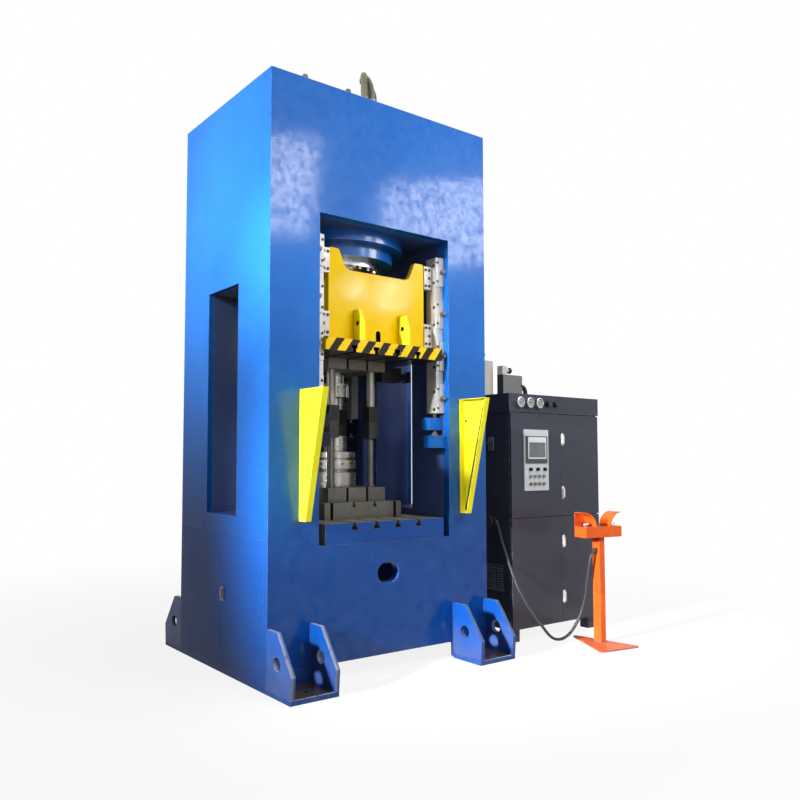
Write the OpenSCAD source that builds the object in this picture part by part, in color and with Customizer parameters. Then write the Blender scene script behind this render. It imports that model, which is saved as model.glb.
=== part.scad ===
// Hydraulic forging press with its control cabinet and two-hand station

/* [Frame] */
// Width across the uprights
frame_width = 1890; // [1600:10:2400]
// Depth from front plate to rear plate
frame_depth = 1260; // [1100:10:1600]
// Height of the frame
frame_height = 3900; // [3600:10:4600]
// Thickness of the side walls
side_wall = 40; // [25:1:60]
// Thickness of the front and rear plates
face_plate = 60; // [30:1:100]
// Thickness of the inner upright walls
inner_wall = 40; // [25:1:60]
// Width of the working opening
opening_width = 1140; // [1000:10:1300]
// Height of the opening's sill
sill_height = 865; // [700:5:1000]
// Height of the opening's head
head_height = 3030; // [2900:5:3300]
// Gap under the front and rear plates
toe_gap = 115; // [60:5:200]
// Thickness of the bed plate
bed_plate = 100; // [60:5:160]
// Thickness of the crown plate
crown_plate = 120; // [80:5:180]

/* [Side windows and doors] */
// Width of a side window
window_width = 440; // [300:10:600]
// Lower edge of a side window
window_bottom = 1045; // [950:5:1200]
// Upper edge of a side window
window_top = 2585; // [2200:5:2700]
// Width over a pair of base doors
door_pair_width = 1160; // [1000:10:1180]
// Lower edge of the base doors
door_bottom = 55; // [30:5:100]
// Upper edge of the base doors
door_top = 920; // [700:5:980]
// Thickness of a base door leaf
door_leaf = 6; // [4:1:10]
// Gap round a door leaf
door_gap = 2; // [1:0.5:4]

/* [Feet] */
// Reach of a foot in front of the frame
foot_reach = 270; // [200:10:350]
// Width of a foot
foot_width = 345; // [250:5:400]
// Height of a foot gusset
foot_height = 390; // [300:5:500]
// Thickness of a foot gusset and its plate
foot_sheet = 30; // [20:1:50]
// Diameter of the hole in a gusset
gusset_hole = 84; // [40:2:120]
// Diameter of an anchor bolt hole
anchor_hole = 42; // [24:1:60]

/* [Table and ram] */
// Width of the bolster and of the slide plate
table_width = 1030; // [900:10:1100]
// Depth of the bolster and of the slide plate
table_depth = 1250; // [1100:10:1500]
// Thickness of the bolster
bolster_height = 135; // [100:5:200]
// Thickness of the slide plate
slide_height = 85; // [60:5:120]
// Height of the slide plate's underside at the top of the stroke
daylight_top = 2135; // [2000:5:2300]
// Width of the ram weldment
ram_width = 850; // [700:10:950]
// Depth of the ram weldment
ram_depth = 1040; // [900:10:1150]
// Thickness of the ram's plates
ram_sheet = 40; // [25:1:60]
// Height of the ram's ears above the slide plate
ear_height = 630; // [500:10:700]
// Height of the ram's front edge between the ears
brow_height = 493; // [400:1:560]
// Throat width of a T-slot
slot_throat = 28; // [18:1:36]
// Head width of a T-slot
slot_head = 50; // [36:1:60]
// Depth of a T-slot's throat and of its head
slot_step = 24; // [16:1:32]
// Outer T-slot distance from the middle
slot_outer = 280; // [220:5:340]
// Inner T-slot distance from the middle
slot_inner = 93; // [60:1:140]

/* [Guides] */
// Distance of a guide face from the middle
guide_face = 500; // [460:5:540]
// Running gap between shoe and guide rail
guide_gap = 0.3; // [0.1:0.1:0.6]
// Depth of a guide rail
rail_depth = 100; // [80:5:140]
// Lower end of the guide rails
rail_bottom = 1756; // [1700:1:1850]
// Upper end of the guide rails
rail_top = 2906; // [2850:1:3000]
// Height of an adjusting pad
pad_height = 213; // [160:1:260]
// Thickness of an adjusting pad
pad_sheet = 12; // [8:1:20]

/* [Hydraulics] */
// Diameter of the piston rod
rod_diameter = 430; // [300:10:480]
// Bore of the main cylinder
bore_diameter = 560; // [500:10:620]
// Outer diameter of the main cylinder
cylinder_diameter = 780; // [700:10:860]
// Diameter of the cylinder's upper flange
flange_diameter = 1010; // [900:10:1060]
// Diameter of the cylinder's lower collar
collar_diameter = 860; // [820:10:900]
// Diameter of the gland ring
gland_diameter = 680; // [600:10:720]
// Radial running clearance of rods and buttons
run_gap = 0.08; // [0.02:0.01:0.1]
// Diameter of the ejector rod
ejector_diameter = 80; // [50:5:100]
// Diameter of a hose
hose_diameter = 52; // [30:2:70]
// Bend radius of a hose
hose_bend = 225; // [150:5:300]

/* [Dies] */
// Width of the die shoe
shoe_width = 680; // [560:10:900]
// Depth of the die shoe
shoe_depth = 720; // [600:10:900]
// Thickness of the die shoe
shoe_height = 115; // [80:5:150]
// Width over the die bars
bars_width = 510; // [420:10:600]
// Length of the die bars
bars_depth = 560; // [460:10:700]
// Gap between die bars
bars_gap = 20; // [12:1:30]
// Thickness of the lower die bars
bar_height = 100; // [70:5:140]
// Thickness of the upper die bars
upper_bar_height = 70; // [50:5:100]
// Pillar distance from the middle, across
pillar_x = 180; // [140:5:220]
// Pillar distance from the middle, front to back
pillar_y = 200; // [150:5:240]
// Diameter of a guide pillar
pillar_diameter = 50; // [36:1:64]
// Length of a guide pillar
pillar_length = 350; // [300:5:420]
// Length of a guide sleeve
sleeve_length = 377; // [340:1:420]
// Diameter of the die ring
ring_diameter = 310; // [240:5:340]

/* [Guards] */
// Reach of a guard at its top
guard_reach = 260; // [180:5:320]
// Reach of a guard at its foot
guard_foot = 70; // [40:5:120]
// Lower end of a guard
guard_bottom = 1030; // [950:5:1150]
// Upper end of a guard
guard_top = 1860; // [1700:5:2000]
// Width of a guard's rim
guard_rim = 45; // [30:1:60]
// Sheet thickness of a guard
guard_sheet = 4; // [3:1:6]
// Guard distance from the middle
guard_x = 720; // [660:5:800]

/* [Cabinet] */
// Distance of the cabinet's left side from the press axis
cabinet_left = 1250; // [1150:10:1500]
// Width of the cabinet
cabinet_width = 1090; // [900:10:1300]
// Depth of the cabinet
cabinet_depth = 900; // [700:10:1200]
// Height of the cabinet
cabinet_height = 1940; // [1800:10:2100]
// Height of the cabinet's feet
cabinet_feet = 100; // [60:5:150]
// Wall of the cabinet
cabinet_wall = 12; // [8:1:20]
// Thickness of a cabinet door
cabinet_door = 20; // [12:1:30]
// Height of the gauge strip
strip_height = 150; // [120:5:200]
// Height of the seam between upper and lower doors
seam_height = 960; // [800:10:1100]
// Width of the left pair of cabinet doors
left_leaf = 588; // [450:1:700]
// Width of the operator panel
panel_width = 288; // [240:2:340]
// Height of the operator panel
panel_height = 485; // [420:5:560]

/* [Two-hand station] */
// Height of the station's box underside
station_height = 818; // [700:2:1000]
// Width of the station's box
station_width = 370; // [320:5:500]
// Depth of the station's box
station_depth = 122; // [100:2:160]
// Height of the station's box
station_box = 82; // [60:2:110]
// Turn of the station about its post
station_turn = -9; // [-30:1:30]
// Radius of a hood
hood_radius = 112; // [90:1:130]
// Diameter of a palm button
palm_diameter = 62; // [40:1:70]

/* [Cord] */
// Diameter of the station's cord
cord_diameter = 22; // [10:1:30]

/* [Hidden] */
$fn = 64;
half_w = frame_width / 2;
half_d = frame_depth / 2;
half_open = opening_width / 2;
in_w = half_w - side_wall;
in_d = half_d - face_plate;
half_door = door_pair_width / 2;
lip = 20;
lining = 25;
top_plate = 40;
sling_y = half_d + 116;
sling_z = 205;
port_z = 655;
port_r = 66;
port_half = 28;
table_top = sill_height + bolster_height;
ram_floor = daylight_top + slide_height;
ear_top = ram_floor + ear_height;
brow_top = ram_floor + brow_height;
ram_x = ram_width / 2;
ram_y = ram_depth / 2;
rod_foot = ram_floor + 480;
flange_height = 80;
collar_height = 90;
gland_height = 45;
flange_bottom = head_height - flange_height;
collar_bottom = flange_bottom - collar_height;
gland_bottom = collar_bottom - gland_height;
cylinder_top = frame_height - 70;
cap_height = 90;
piston_height = 200;
piston_gap = 65;
piston_bottom = cylinder_top - cap_height - piston_gap - piston_height;
rail_x = half_open - guide_face;
rail_y = in_d - rail_depth / 2;
pad_pitch = (rail_top - rail_bottom - pad_height) / 3;
pad_width = 42;
pad_flange = pad_sheet / 2;
stop_top = rail_bottom - 36;
ledge_top = rail_bottom - 164;
jack_diameter = 30;
shoe_top = table_top + shoe_height;
bar_top = shoe_top + bar_height;
upper_bar_bottom = daylight_top - upper_bar_height;
sleeve_bottom = upper_bar_bottom - sleeve_length;
bar_width = (bars_width - 2 * bars_gap) / 3;
rear_guard_top = head_height - 430;
latch_z = 520;
die_bore = ejector_diameter + 12;
cab_right = cabinet_left + cabinet_width;
cab_front = -590;
door_front = cab_front - cabinet_door;
strip_bottom = cabinet_height - strip_height;
split_x = cabinet_left + left_leaf;
panel_x = cabinet_left + 139;
panel_z = 1173;
panel_sheet = 12;
panel_front = door_front - panel_sheet;
row_selector = panel_z + 169;
row_lamp = panel_z + 113;
row_button = panel_z + 53;
col_first = panel_x + 66;
col_pitch = 52;
button_r = 14;
stem_r = 8;
strip_front = door_front - 2;
gauge_r = 38;
gauge_z = strip_bottom + 82;
handle_inset = 200;
knob_x = panel_x + 292;
knob_pitch = 96;
station_x = 1861;
station_y = -947;
station_top = station_height + station_box;
palm_x = station_width / 2 - 52;
gland_z = 722;
hose_turn = 54;
hose_x = -110;
hose_y = -500;
hose_pitch = 66;
cord_r = cord_diameter / 2;
cord_sides = 10;
cord_points = [
  [1228, -468, 930],
  [1222, -500, 880],
  [1210, -560, 740],
  [1230, -690, 430],
  [1360, -790, 170],
  [1530, -780, 40],
  [1690, -790, 60],
  [1770, -850, 240],
  [1780, -900, 500],
  [1784, -930, 660],
  [1828, -942, 722]
];

// Box from its two corners
module block(low, high) {
  translate(low) cube(high - low);
}

// The same thing on both sides of the press
module both_sides() {
  children();
  mirror([1, 0, 0]) children();
}

// The same thing at front and back
module both_ends() {
  children();
  mirror([0, 1, 0]) children();
}

// The same thing at all four corners
module corners() {
  both_sides() both_ends() children();
}

// Profile drawn in Y and Z, thickened along X
module side_profile(points, from_x, thick) {
  translate([from_x, 0, 0]) rotate([90, 0, 90]) linear_extrude(height = thick) polygon(points);
}

// Profile drawn in X and Z, thickened along Y
module front_profile(points, from_y, thick) {
  translate([0, from_y + thick, 0]) rotate([90, 0, 0]) linear_extrude(height = thick) polygon(points);
}

// Cylinder along X
module bar_x(r, from, to) {
  translate([from, 0, 0]) rotate([0, 90, 0]) cylinder(h = to - from, r = r);
}

// Cylinder along Y
module bar_y(r, from, to) {
  translate([0, from, 0]) rotate([-90, 0, 0]) cylinder(h = to - from, r = r);
}

// T-slot along Y, its mouth at height zero
module t_slot(length) {
  block([-slot_throat / 2, -length / 2, -slot_step - 1], [slot_throat / 2, length / 2, 1]);
  block([-slot_head / 2, -length / 2, -2 * slot_step], [slot_head / 2, length / 2, -slot_step]);
}

// Four T-slots of the table
module table_slots() {
  for (x = [-slot_outer, -slot_inner, slot_inner, slot_outer])
    translate([x, 0, 0]) t_slot(table_depth + 2);
}

// Plate under one foot
module foot_plate() {
  difference() {
    block([-half_w, -half_d - foot_reach, 0], [-half_w + foot_width, -half_d + 1, foot_sheet]);
    translate([-half_w + foot_width / 2, -half_d - 160, -1])
      cylinder(h = foot_sheet + 2, d = anchor_hole);
  }
}

// Outer walls and crown of the welded frame
module frame_walls() {
  both_sides() block([-half_w, -half_d, 0], [-in_w, half_d, frame_height]);
  both_ends() block([-half_w, -half_d, toe_gap], [half_w, -in_d, frame_height]);
  block([-half_w, -half_d, frame_height - top_plate], [half_w, half_d, frame_height]);
  corners() foot_plate();
}

// Side windows through both uprights
module window_cuts() {
  both_sides() block([-half_w - 1, -window_width / 2, window_bottom],
    [-half_open + 1, window_width / 2, window_top]);
}

// Openings cut through the frame
module frame_cuts() {
  block([-half_open, -half_d - 1, sill_height], [half_open, half_d + 1, head_height]);
  window_cuts();
  block([-half_w - 1, -half_door, door_bottom], [-half_w + door_leaf, half_door, door_top]);
  block([-half_w - 1, -half_door + lip, door_bottom + lip], [-in_w + 1, half_door - lip, door_top - lip]);
  both_ends() both_sides() translate([port_half, 0, port_z]) bar_y(port_r, -half_d - 1, -in_d + 2);
  both_ends() block([-port_half, -half_d - 1, port_z - port_r], [port_half, -in_d + 2, port_z + port_r]);
  translate([0, 0, frame_height - top_plate - 1]) cylinder(h = top_plate + 2, d = 300);
}

module frame() {
  color([0.13, 0.36, 0.68])
    difference() {
      frame_walls();
      frame_cuts();
    }
}

// Stop and ledge under one guide rail
module guide_stop() {
  block([-half_open - 1, -in_d + 5, stop_top - 87], [-half_open + 130, -in_d + 95, stop_top]);
  block([-half_open - 1, -in_d, ledge_top - 89], [-half_open + 115, -in_d + 90, ledge_top]);
  block([-half_open, -in_d - 25, ledge_top - 89], [-half_open + 115, -in_d + 1, ledge_top]);
}

// Inner walls, bed, crown plate and window linings
module inner_frame() {
  wall_x = half_open + inner_wall;
  color([0.13, 0.36, 0.68])
    difference() {
      union() {
        both_sides() block([-wall_x, -in_d, toe_gap], [-half_open, in_d, head_height + crown_plate]);
        block([-wall_x, -in_d, sill_height - bed_plate], [wall_x, in_d, sill_height]);
        block([-wall_x, -in_d, head_height], [wall_x, in_d, head_height + crown_plate]);
        both_sides() block([-in_w, -window_width / 2 - lining, window_bottom - lining],
          [-half_open - 1, window_width / 2 + lining, window_top + lining]);
        corners() guide_stop();
      }
      window_cuts();
      translate([0, 0, head_height - 1]) cylinder(h = crown_plate + 2, d = cylinder_diameter + 1);
      translate([0, 0, sill_height - bed_plate - 1]) cylinder(h = bed_plate + 2, d = die_bore);
      corners() translate([-half_open + 40, -in_d + 50, ledge_top + 8])
        cylinder(h = 200, d = jack_diameter + 2 * run_gap);
    }
}

// Gusset plates of the four feet with their sling holes
module gussets() {
  toe = half_d + foot_reach;
  shape = [
    [-half_d, foot_sheet],
    [-half_d, foot_height],
    [-half_d - 115, foot_height],
    [-toe - 10, 160],
    [-toe, foot_sheet]
  ];
  color([0.13, 0.36, 0.68])
    corners()
      for (x = [-half_w, -half_w + foot_width - foot_sheet])
        difference() {
          side_profile(shape, x, foot_sheet);
          translate([x, -sling_y, sling_z]) bar_x(gusset_hole / 2, -1, foot_sheet + 1);
        }
}

module bolster() {
  color([0.45, 0.47, 0.47])
    difference() {
      block([-table_width / 2, -table_depth / 2, sill_height], [table_width / 2, table_depth / 2, table_top]);
      translate([0, 0, table_top]) table_slots();
      translate([0, 0, sill_height - 1]) cylinder(h = bolster_height + 2, d = die_bore);
    }
}

module main_cylinder() {
  bore = bore_diameter / 2;
  body = cylinder_diameter / 2;
  color([0.13, 0.3, 0.6])
    rotate_extrude()
      polygon([
        [bore, collar_bottom],
        [collar_diameter / 2, collar_bottom],
        [collar_diameter / 2, flange_bottom],
        [flange_diameter / 2, flange_bottom],
        [flange_diameter / 2, head_height],
        [body, head_height],
        [body, cylinder_top],
        [0, cylinder_top],
        [0, cylinder_top - cap_height],
        [bore, cylinder_top - cap_height]
      ]);
}

module gland_ring() {
  color([0.8, 0.8, 0.8]) {
    difference() {
      translate([0, 0, gland_bottom]) cylinder(h = gland_height, d = gland_diameter);
      translate([0, 0, gland_bottom - 1]) cylinder(h = gland_height + 2, r = rod_diameter / 2 + run_gap);
    }
    for (a = [0 : 15 : 345])
      rotate([0, 0, a]) translate([gland_diameter / 2 - 35, 0, gland_bottom - 16])
        cylinder(h = 17, d = 34, $fn = 6);
  }
}

module piston_rod() {
  color([0.85, 0.85, 0.86]) {
    translate([0, 0, rod_foot]) cylinder(h = piston_bottom - rod_foot + 1, d = rod_diameter);
    translate([0, 0, rod_foot]) cylinder(h = 50, d = rod_diameter + 150);
    translate([0, 0, piston_bottom]) cylinder(h = piston_height, r = bore_diameter / 2 - run_gap);
  }
}

module ejector_cylinder() {
  top = sill_height - bed_plate;
  color([0.13, 0.3, 0.6])
    difference() {
      union() {
        translate([0, 0, top - 30]) cylinder(h = 30, d = 320);
        translate([0, 0, top - 420]) cylinder(h = 400, d = 220);
      }
      translate([0, 0, top - 60]) cylinder(h = 70, r = ejector_diameter / 2 + run_gap);
      translate([0, 0, top - 390]) cylinder(h = 340, d = 150);
    }
}

module ejector_rod() {
  base = sill_height - bed_plate - 360;
  color([0.82, 0.82, 0.83]) {
    translate([0, 0, base]) cylinder(h = table_top + 150 - base, d = ejector_diameter);
    translate([0, 0, base]) cylinder(h = 60, r = 75 - run_gap);
  }
}

// Front plate of the ram with its two ears
module ram_face(from_y) {
  ear = 90;
  shape = [
    [-ram_x, ram_floor],
    [-ram_x, ear_top - 12],
    [-ram_x + 12, ear_top],
    [-ram_x + ear - 12, ear_top],
    [-ram_x + ear, ear_top - 12],
    [-ram_x + ear + 36, brow_top + 40],
    [-ram_x + ear + 56, brow_top + 12],
    [-ram_x + ear + 90, brow_top],
    [ram_x - ear - 90, brow_top],
    [ram_x - ear - 56, brow_top + 12],
    [ram_x - ear - 36, brow_top + 40],
    [ram_x - ear, ear_top - 12],
    [ram_x - ear + 12, ear_top],
    [ram_x - 12, ear_top],
    [ram_x, ear_top - 12],
    [ram_x, ram_floor]
  ];
  difference() {
    front_profile(shape, from_y, ram_sheet);
    translate([0, 0, ram_floor + 75]) bar_y(21, from_y - 1, from_y + ram_sheet + 1);
    block([-21, from_y - 1, ram_floor - 1], [21, from_y + ram_sheet + 1, ram_floor + 75]);
  }
}

// Lifting lugs on the ram's front ledge
module ram_lugs() {
  shape = [
    [-ram_y, ram_floor],
    [-ram_y, ram_floor + 220],
    [-ram_y - 55, ram_floor + 220],
    [-ram_y - 92, ram_floor + 115],
    [-ram_y - 92, ram_floor]
  ];
  color([0.98, 0.84, 0.12])
    for (x = [-200, 200])
      difference() {
        side_profile(shape, x - 16, 32);
        translate([x, -ram_y - 46, ram_floor + 122]) bar_x(14, -17, 17);
      }
}

module ram() {
  color([0.95, 0.76, 0.1]) {
    ram_face(-ram_y);
    ram_face(ram_y - ram_sheet);
    both_sides() side_profile([
      [-ram_y + 1, ram_floor],
      [-ram_y + 1, brow_top + 60],
      [-ram_y + 180, brow_top + 60],
      [-ram_y + 240, rod_foot - 30],
      [ram_y - 240, rod_foot - 30],
      [ram_y - 180, brow_top + 60],
      [ram_y - 1, brow_top + 60],
      [ram_y - 1, ram_floor]
    ], -ram_x, ram_sheet);
    block([-ram_x + 1, -ram_y + 1, rod_foot - 60], [ram_x - 1, ram_y - 1, rod_foot]);
    for (x = [-200, 180]) block([x, -ram_y + 1, ram_floor], [x + 20, ram_y - 1, rod_foot - 59]);
  }
}

module slide_plate() {
  wide = table_width / 2;
  narrow = guide_face - 3;
  end = table_depth / 2 - 5;
  notch = in_d + pad_sheet + 3;
  color([0.95, 0.76, 0.1])
    difference() {
      translate([0, 0, daylight_top]) linear_extrude(height = slide_height)
        polygon([
          [-wide, -end], [wide, -end], [wide, -notch], [narrow, -notch],
          [narrow, notch], [wide, notch], [wide, end], [-wide, end],
          [-wide, notch], [-narrow, notch], [-narrow, -notch], [-wide, -notch]
        ]);
      translate([0, 0, daylight_top]) mirror([0, 0, 1]) table_slots();
    }
}

// Guide shoes on the ram's four corners, upper and lower
module ram_shoes() {
  color([0.78, 0.78, 0.76])
    corners()
      for (z = [ram_floor + 20, ear_top - 180])
        block([-guide_face + guide_gap, -ram_y - 10, z], [-ram_x, -ram_y + 50, z + 168]);
}

module guide_rails() {
  color([0.72, 0.72, 0.7])
    corners()
      block([-half_open, -in_d, rail_bottom], [-guide_face, -in_d + rail_depth, rail_top]);
}

module guide_pads() {
  color([0.8, 0.8, 0.78])
    corners()
      for (i = [0 : 3])
        translate([-half_open, -in_d, rail_bottom + i * pad_pitch]) {
          block([0, -pad_sheet, 0], [pad_width, 0, pad_height]);
          block([0, -pad_flange, 0], [rail_x, 0, pad_height]);
        }
}

// Hexagon bolts on the pads and jack bolts under the rails
module guide_bolts() {
  color([0.6, 0.6, 0.6])
    corners() {
      for (i = [0 : 3])
        translate([-half_open + 22, -in_d - pad_sheet, rail_bottom + i * pad_pitch + pad_height / 2]) {
          rotate([90, 0, 0]) cylinder(h = 18, d = 38, $fn = 6);
          rotate([90, 0, 0]) cylinder(h = 34, d = 20);
        }
      translate([-half_open + 40, -in_d + 50, ledge_top]) {
        cylinder(h = rail_bottom - ledge_top, d = jack_diameter);
        translate([0, 0, 2]) cylinder(h = 20, d = 52, $fn = 6);
      }
    }
}

// Three parallel bars of a die plate
module bars(bottom, height) {
  for (i = [-1 : 1])
    difference() {
      block([i * (bar_width + bars_gap) - bar_width / 2, -bars_depth / 2, bottom],
        [i * (bar_width + bars_gap) + bar_width / 2, bars_depth / 2, bottom + height]);
      if (i == 0)
        translate([0, 0, bottom - 1]) cylinder(h = height + 2, d = die_bore);
    }
}

module upper_bars() {
  color([0.4, 0.39, 0.37]) bars(upper_bar_bottom, upper_bar_height);
}

module guide_sleeves() {
  color([0.35, 0.34, 0.33])
    corners()
      translate([-pillar_x, -pillar_y, 0])
        difference() {
          union() {
            translate([0, 0, sleeve_bottom]) cylinder(h = sleeve_length, d = pillar_diameter + 16);
            block([-45, -45, sleeve_bottom], [45, 45, sleeve_bottom + 117]);
          }
          translate([0, 0, sleeve_bottom - 1])
            cylinder(h = sleeve_length - 30, r = pillar_diameter / 2 + run_gap);
        }
}

module punch() {
  body_bottom = upper_bar_bottom - 184;
  color([0.7, 0.69, 0.66]) {
    translate([0, 0, body_bottom + 98]) cylinder(h = 86, d = 130);
    difference() {
      translate([0, 0, body_bottom]) cylinder(h = 99, d = 200);
      for (a = [0 : 22.5 : 337.5])
        rotate([0, 0, a]) translate([102, 0, body_bottom - 1]) cylinder(h = 80, r = 9);
    }
    translate([0, 0, body_bottom - 255]) cylinder(h = 256, d = 64);
  }
}

// Side-action cylinder hung on the right upper bar
module side_cylinder() {
  color([0.2, 0.2, 0.2])
    translate([bars_width / 2, -200, upper_bar_bottom]) {
      block([0, -45, -65], [186, 45, 45]);
      translate([0, 0, -17]) bar_x(34, 185, 272);
      block([271, -42, -59], [283, 42, 25]);
    }
}

module die_shoe() {
  color([0.42, 0.4, 0.37])
    difference() {
      block([-shoe_width / 2, -shoe_depth / 2, table_top], [shoe_width / 2, shoe_depth / 2, shoe_top]);
      corners()
        translate([-slot_inner, -shoe_depth / 2, shoe_top]) scale([0.72, 1, 0.72]) t_slot(30);
      corners()
        block([-slot_outer - 13, -shoe_depth / 2 - 1, table_top - 1],
          [-slot_outer + 13, -shoe_depth / 2 + 60, shoe_top + 1]);
      translate([0, 0, table_top - 1]) cylinder(h = shoe_height + 2, d = die_bore);
    }
}

module die_bars() {
  color([0.4, 0.39, 0.37]) bars(shoe_top, bar_height);
}

module guide_pillars() {
  color([0.6, 0.59, 0.57])
    corners()
      translate([-pillar_x, -pillar_y, bar_top]) {
        cylinder(h = pillar_length, d = pillar_diameter);
        cylinder(h = 22, d = pillar_diameter + 16);
      }
}

// Stack of die rings with grooves and pin holes
module die_rings() {
  r = ring_diameter / 2;
  color([0.62, 0.61, 0.58])
    difference() {
      translate([0, 0, bar_top]) rotate_extrude()
        polygon([
          [die_bore / 2, 0], [r, 0], [r, 105], [r - 22, 109], [r - 22, 133], [r, 133],
          [r, 197], [r - 16, 197], [r - 16, 214], [r - 4, 214], [r - 4, 256],
          [88, 256], [88, 374], [die_bore / 2, 374]
        ]);
      for (a = [15 : 30 : 345])
        rotate([0, 0, a]) translate([0, 0, bar_top + 168]) bar_x(8, r - 20, r + 2);
    }
}

// Tapered guard tray for the left side, open towards the middle
module guard() {
  far = -half_d - guard_reach;
  foot = -half_d - guard_foot;
  t = guard_sheet;
  lean = (guard_reach - guard_foot) / (guard_top - guard_bottom);
  side = t * sqrt(1 + lean * lean);
  outer = [
    [-half_d, guard_bottom], [-half_d, guard_top],
    [far, guard_top], [foot, guard_bottom]
  ];
  inner = [
    [-half_d - t, guard_bottom + t], [-half_d - t, guard_top - t],
    [far + side + t * lean, guard_top - t], [foot + side - t * lean, guard_bottom + t]
  ];
  difference() {
    side_profile(outer, -guard_x, guard_rim);
    side_profile(inner, -guard_x + t, guard_rim);
  }
}

module guard_left() {
  color([1, 0.85, 0.1]) guard();
}

module guard_right() {
  color([1, 0.85, 0.1]) mirror([1, 0, 0]) guard();
}

module rear_guard() {
  color([0.12, 0.12, 0.13]) {
    block([-half_open - 30, half_d, table_top], [half_open + 30, half_d + 4, rear_guard_top]);
    for (z = [table_top, (table_top + rear_guard_top) / 2 - 20, rear_guard_top - 40])
      block([-half_open - 30, half_d + 3, z], [half_open + 30, half_d + 24, z + 40]);
  }
}

// One base door leaf on the left side, from its hinge edge to the middle
module base_door() {
  block([-half_w, -half_door + door_gap, door_bottom + door_gap],
    [-half_w + door_leaf, -door_gap / 2, door_top - door_gap]);
}

module base_door_lf() {
  color([0.13, 0.36, 0.68]) base_door();
}

module base_door_lr() {
  color([0.13, 0.36, 0.68]) mirror([0, 1, 0]) base_door();
}

// Flat pull latch on a front base door
module latch() {
  block([-half_w - 5, -58, latch_z - 46], [-half_w, -22, latch_z + 46]);
  block([-half_w - 18, -46, latch_z - 36], [-half_w - 4, -34, latch_z + 36]);
}

module latch_left() {
  color([0.7, 0.7, 0.7]) latch();
}

// Two arched hoses on the crown
module hoses() {
  color([0.3, 0.3, 0.26])
    for (i = [0, 1])
      translate([hose_x + i * hose_pitch, hose_y, frame_height + 36]) rotate([0, 0, hose_turn]) {
        cylinder(h = 130, d = hose_diameter);
        translate([2 * hose_bend, 0, 0]) cylinder(h = 130, d = hose_diameter);
        translate([hose_bend, 0, 130]) rotate([90, 0, 0])
          rotate_extrude(angle = 180) translate([hose_bend, 0, 0]) circle(d = hose_diameter);
      }
}

// Hose flanges and domed covers on the crown
module hose_fittings() {
  color([0.35, 0.36, 0.37]) {
    for (i = [0, 1])
      translate([hose_x + i * hose_pitch, hose_y, frame_height]) rotate([0, 0, hose_turn])
        for (x = [0, 2 * hose_bend])
          translate([x, 0, 0]) cylinder(h = 36, d = hose_diameter + 8, $fn = 6);
    for (p = [[-590, -470], [-230, -470]])
      translate([p[0], p[1], frame_height]) {
        cylinder(h = 60, d = 90);
        translate([0, 0, 59]) cylinder(h = 24, d = 40);
      }
  }
}

module cabinet() {
  back = cab_front + cabinet_depth;
  w = cabinet_wall;
  color([0.22, 0.22, 0.25])
    difference() {
      union() {
        block([cabinet_left, cab_front, cabinet_feet], [cab_right, back, cabinet_height]);
        block([cabinet_left - 14, strip_front, strip_bottom + 6], [cab_right + 4, back, cabinet_height]);
        for (x = [cabinet_left + 40, cab_right - 120])
          for (y = [cab_front + 20, back - 100])
            block([x, y, 0], [x + 80, y + 80, cabinet_feet + 1]);
      }
      block([cabinet_left + w, cab_front - 1, cabinet_feet + w], [cab_right - w, back - w, seam_height - w]);
      block([cabinet_left + w, cab_front - 1, seam_height + w], [cab_right - w, back - w, strip_bottom]);
      for (x = [0, 1])
        translate([knob_x + knob_pitch * x, 0, gauge_z])
          bar_y(stem_r + run_gap, strip_front - 1, strip_front + 30);
    }
}

// Folded cabinet door between two corners in X and Z
module cabinet_leaf(x0, x1, z0, z1) {
  difference() {
    block([x0, door_front, z0], [x1, cab_front, z1]);
    block([x0 + 12, door_front + 4, z0 + 12], [x1 - 12, cab_front + 1, z1 - 12]);
  }
}

// Places of the row of push buttons and lamps
module panel_row(z) {
  for (i = [0 : 3])
    translate([col_first + i * col_pitch, 0, z]) children();
}

// Places of the row of selectors
function selector_x(i) = col_first - 3 + i * 84;

module panel_holes() {
  for (z = [row_lamp, row_button])
    panel_row(z) bar_y(stem_r + run_gap, panel_front - 1, cab_front);
  for (i = [0 : 2])
    translate([selector_x(i), 0, row_selector]) bar_y(stem_r + run_gap, panel_front - 1, cab_front);
}

module cab_door_ul() {
  color([0.23, 0.23, 0.26])
    difference() {
      cabinet_leaf(cabinet_left + 2, split_x - 2, seam_height + 4, strip_bottom - 2);
      panel_holes();
    }
}

module cab_door_ur() {
  color([0.23, 0.23, 0.26]) cabinet_leaf(split_x + 2, cab_right - 2, seam_height + 4, strip_bottom - 2);
}

module cab_door_ll() {
  color([0.23, 0.23, 0.26]) cabinet_leaf(cabinet_left + 2, split_x - 2, cabinet_feet + 4, seam_height - 4);
}

module cab_door_lr() {
  color([0.23, 0.23, 0.26]) cabinet_leaf(split_x + 2, cab_right - 2, cabinet_feet + 4, seam_height - 4);
}

// Two long latch handles on a right-hand cabinet door
module handle_pair(heights) {
  for (z = heights)
    translate([split_x + 26, door_front, z]) {
      block([-13, -6, -46], [13, 0, 46]);
      block([-9, -20, -38], [9, -5, 30]);
    }
}

module handles_upper() {
  color([0.85, 0.85, 0.86]) handle_pair([seam_height + handle_inset - 8, strip_bottom - handle_inset - 3]);
}

module handles_lower() {
  color([0.85, 0.85, 0.86]) handle_pair([cabinet_feet + handle_inset + 8, seam_height - handle_inset - 6]);
}

module operator_panel() {
  color([0.82, 0.83, 0.83])
    difference() {
      block([panel_x, panel_front, panel_z], [panel_x + panel_width, door_front, panel_z + panel_height]);
      panel_holes();
    }
}

module screen_unit() {
  color([0.12, 0.12, 0.13])
    block([panel_x + 12, panel_front - 8, panel_z + 218],
      [panel_x + panel_width - 22, panel_front, panel_z + 433]);
}

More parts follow.
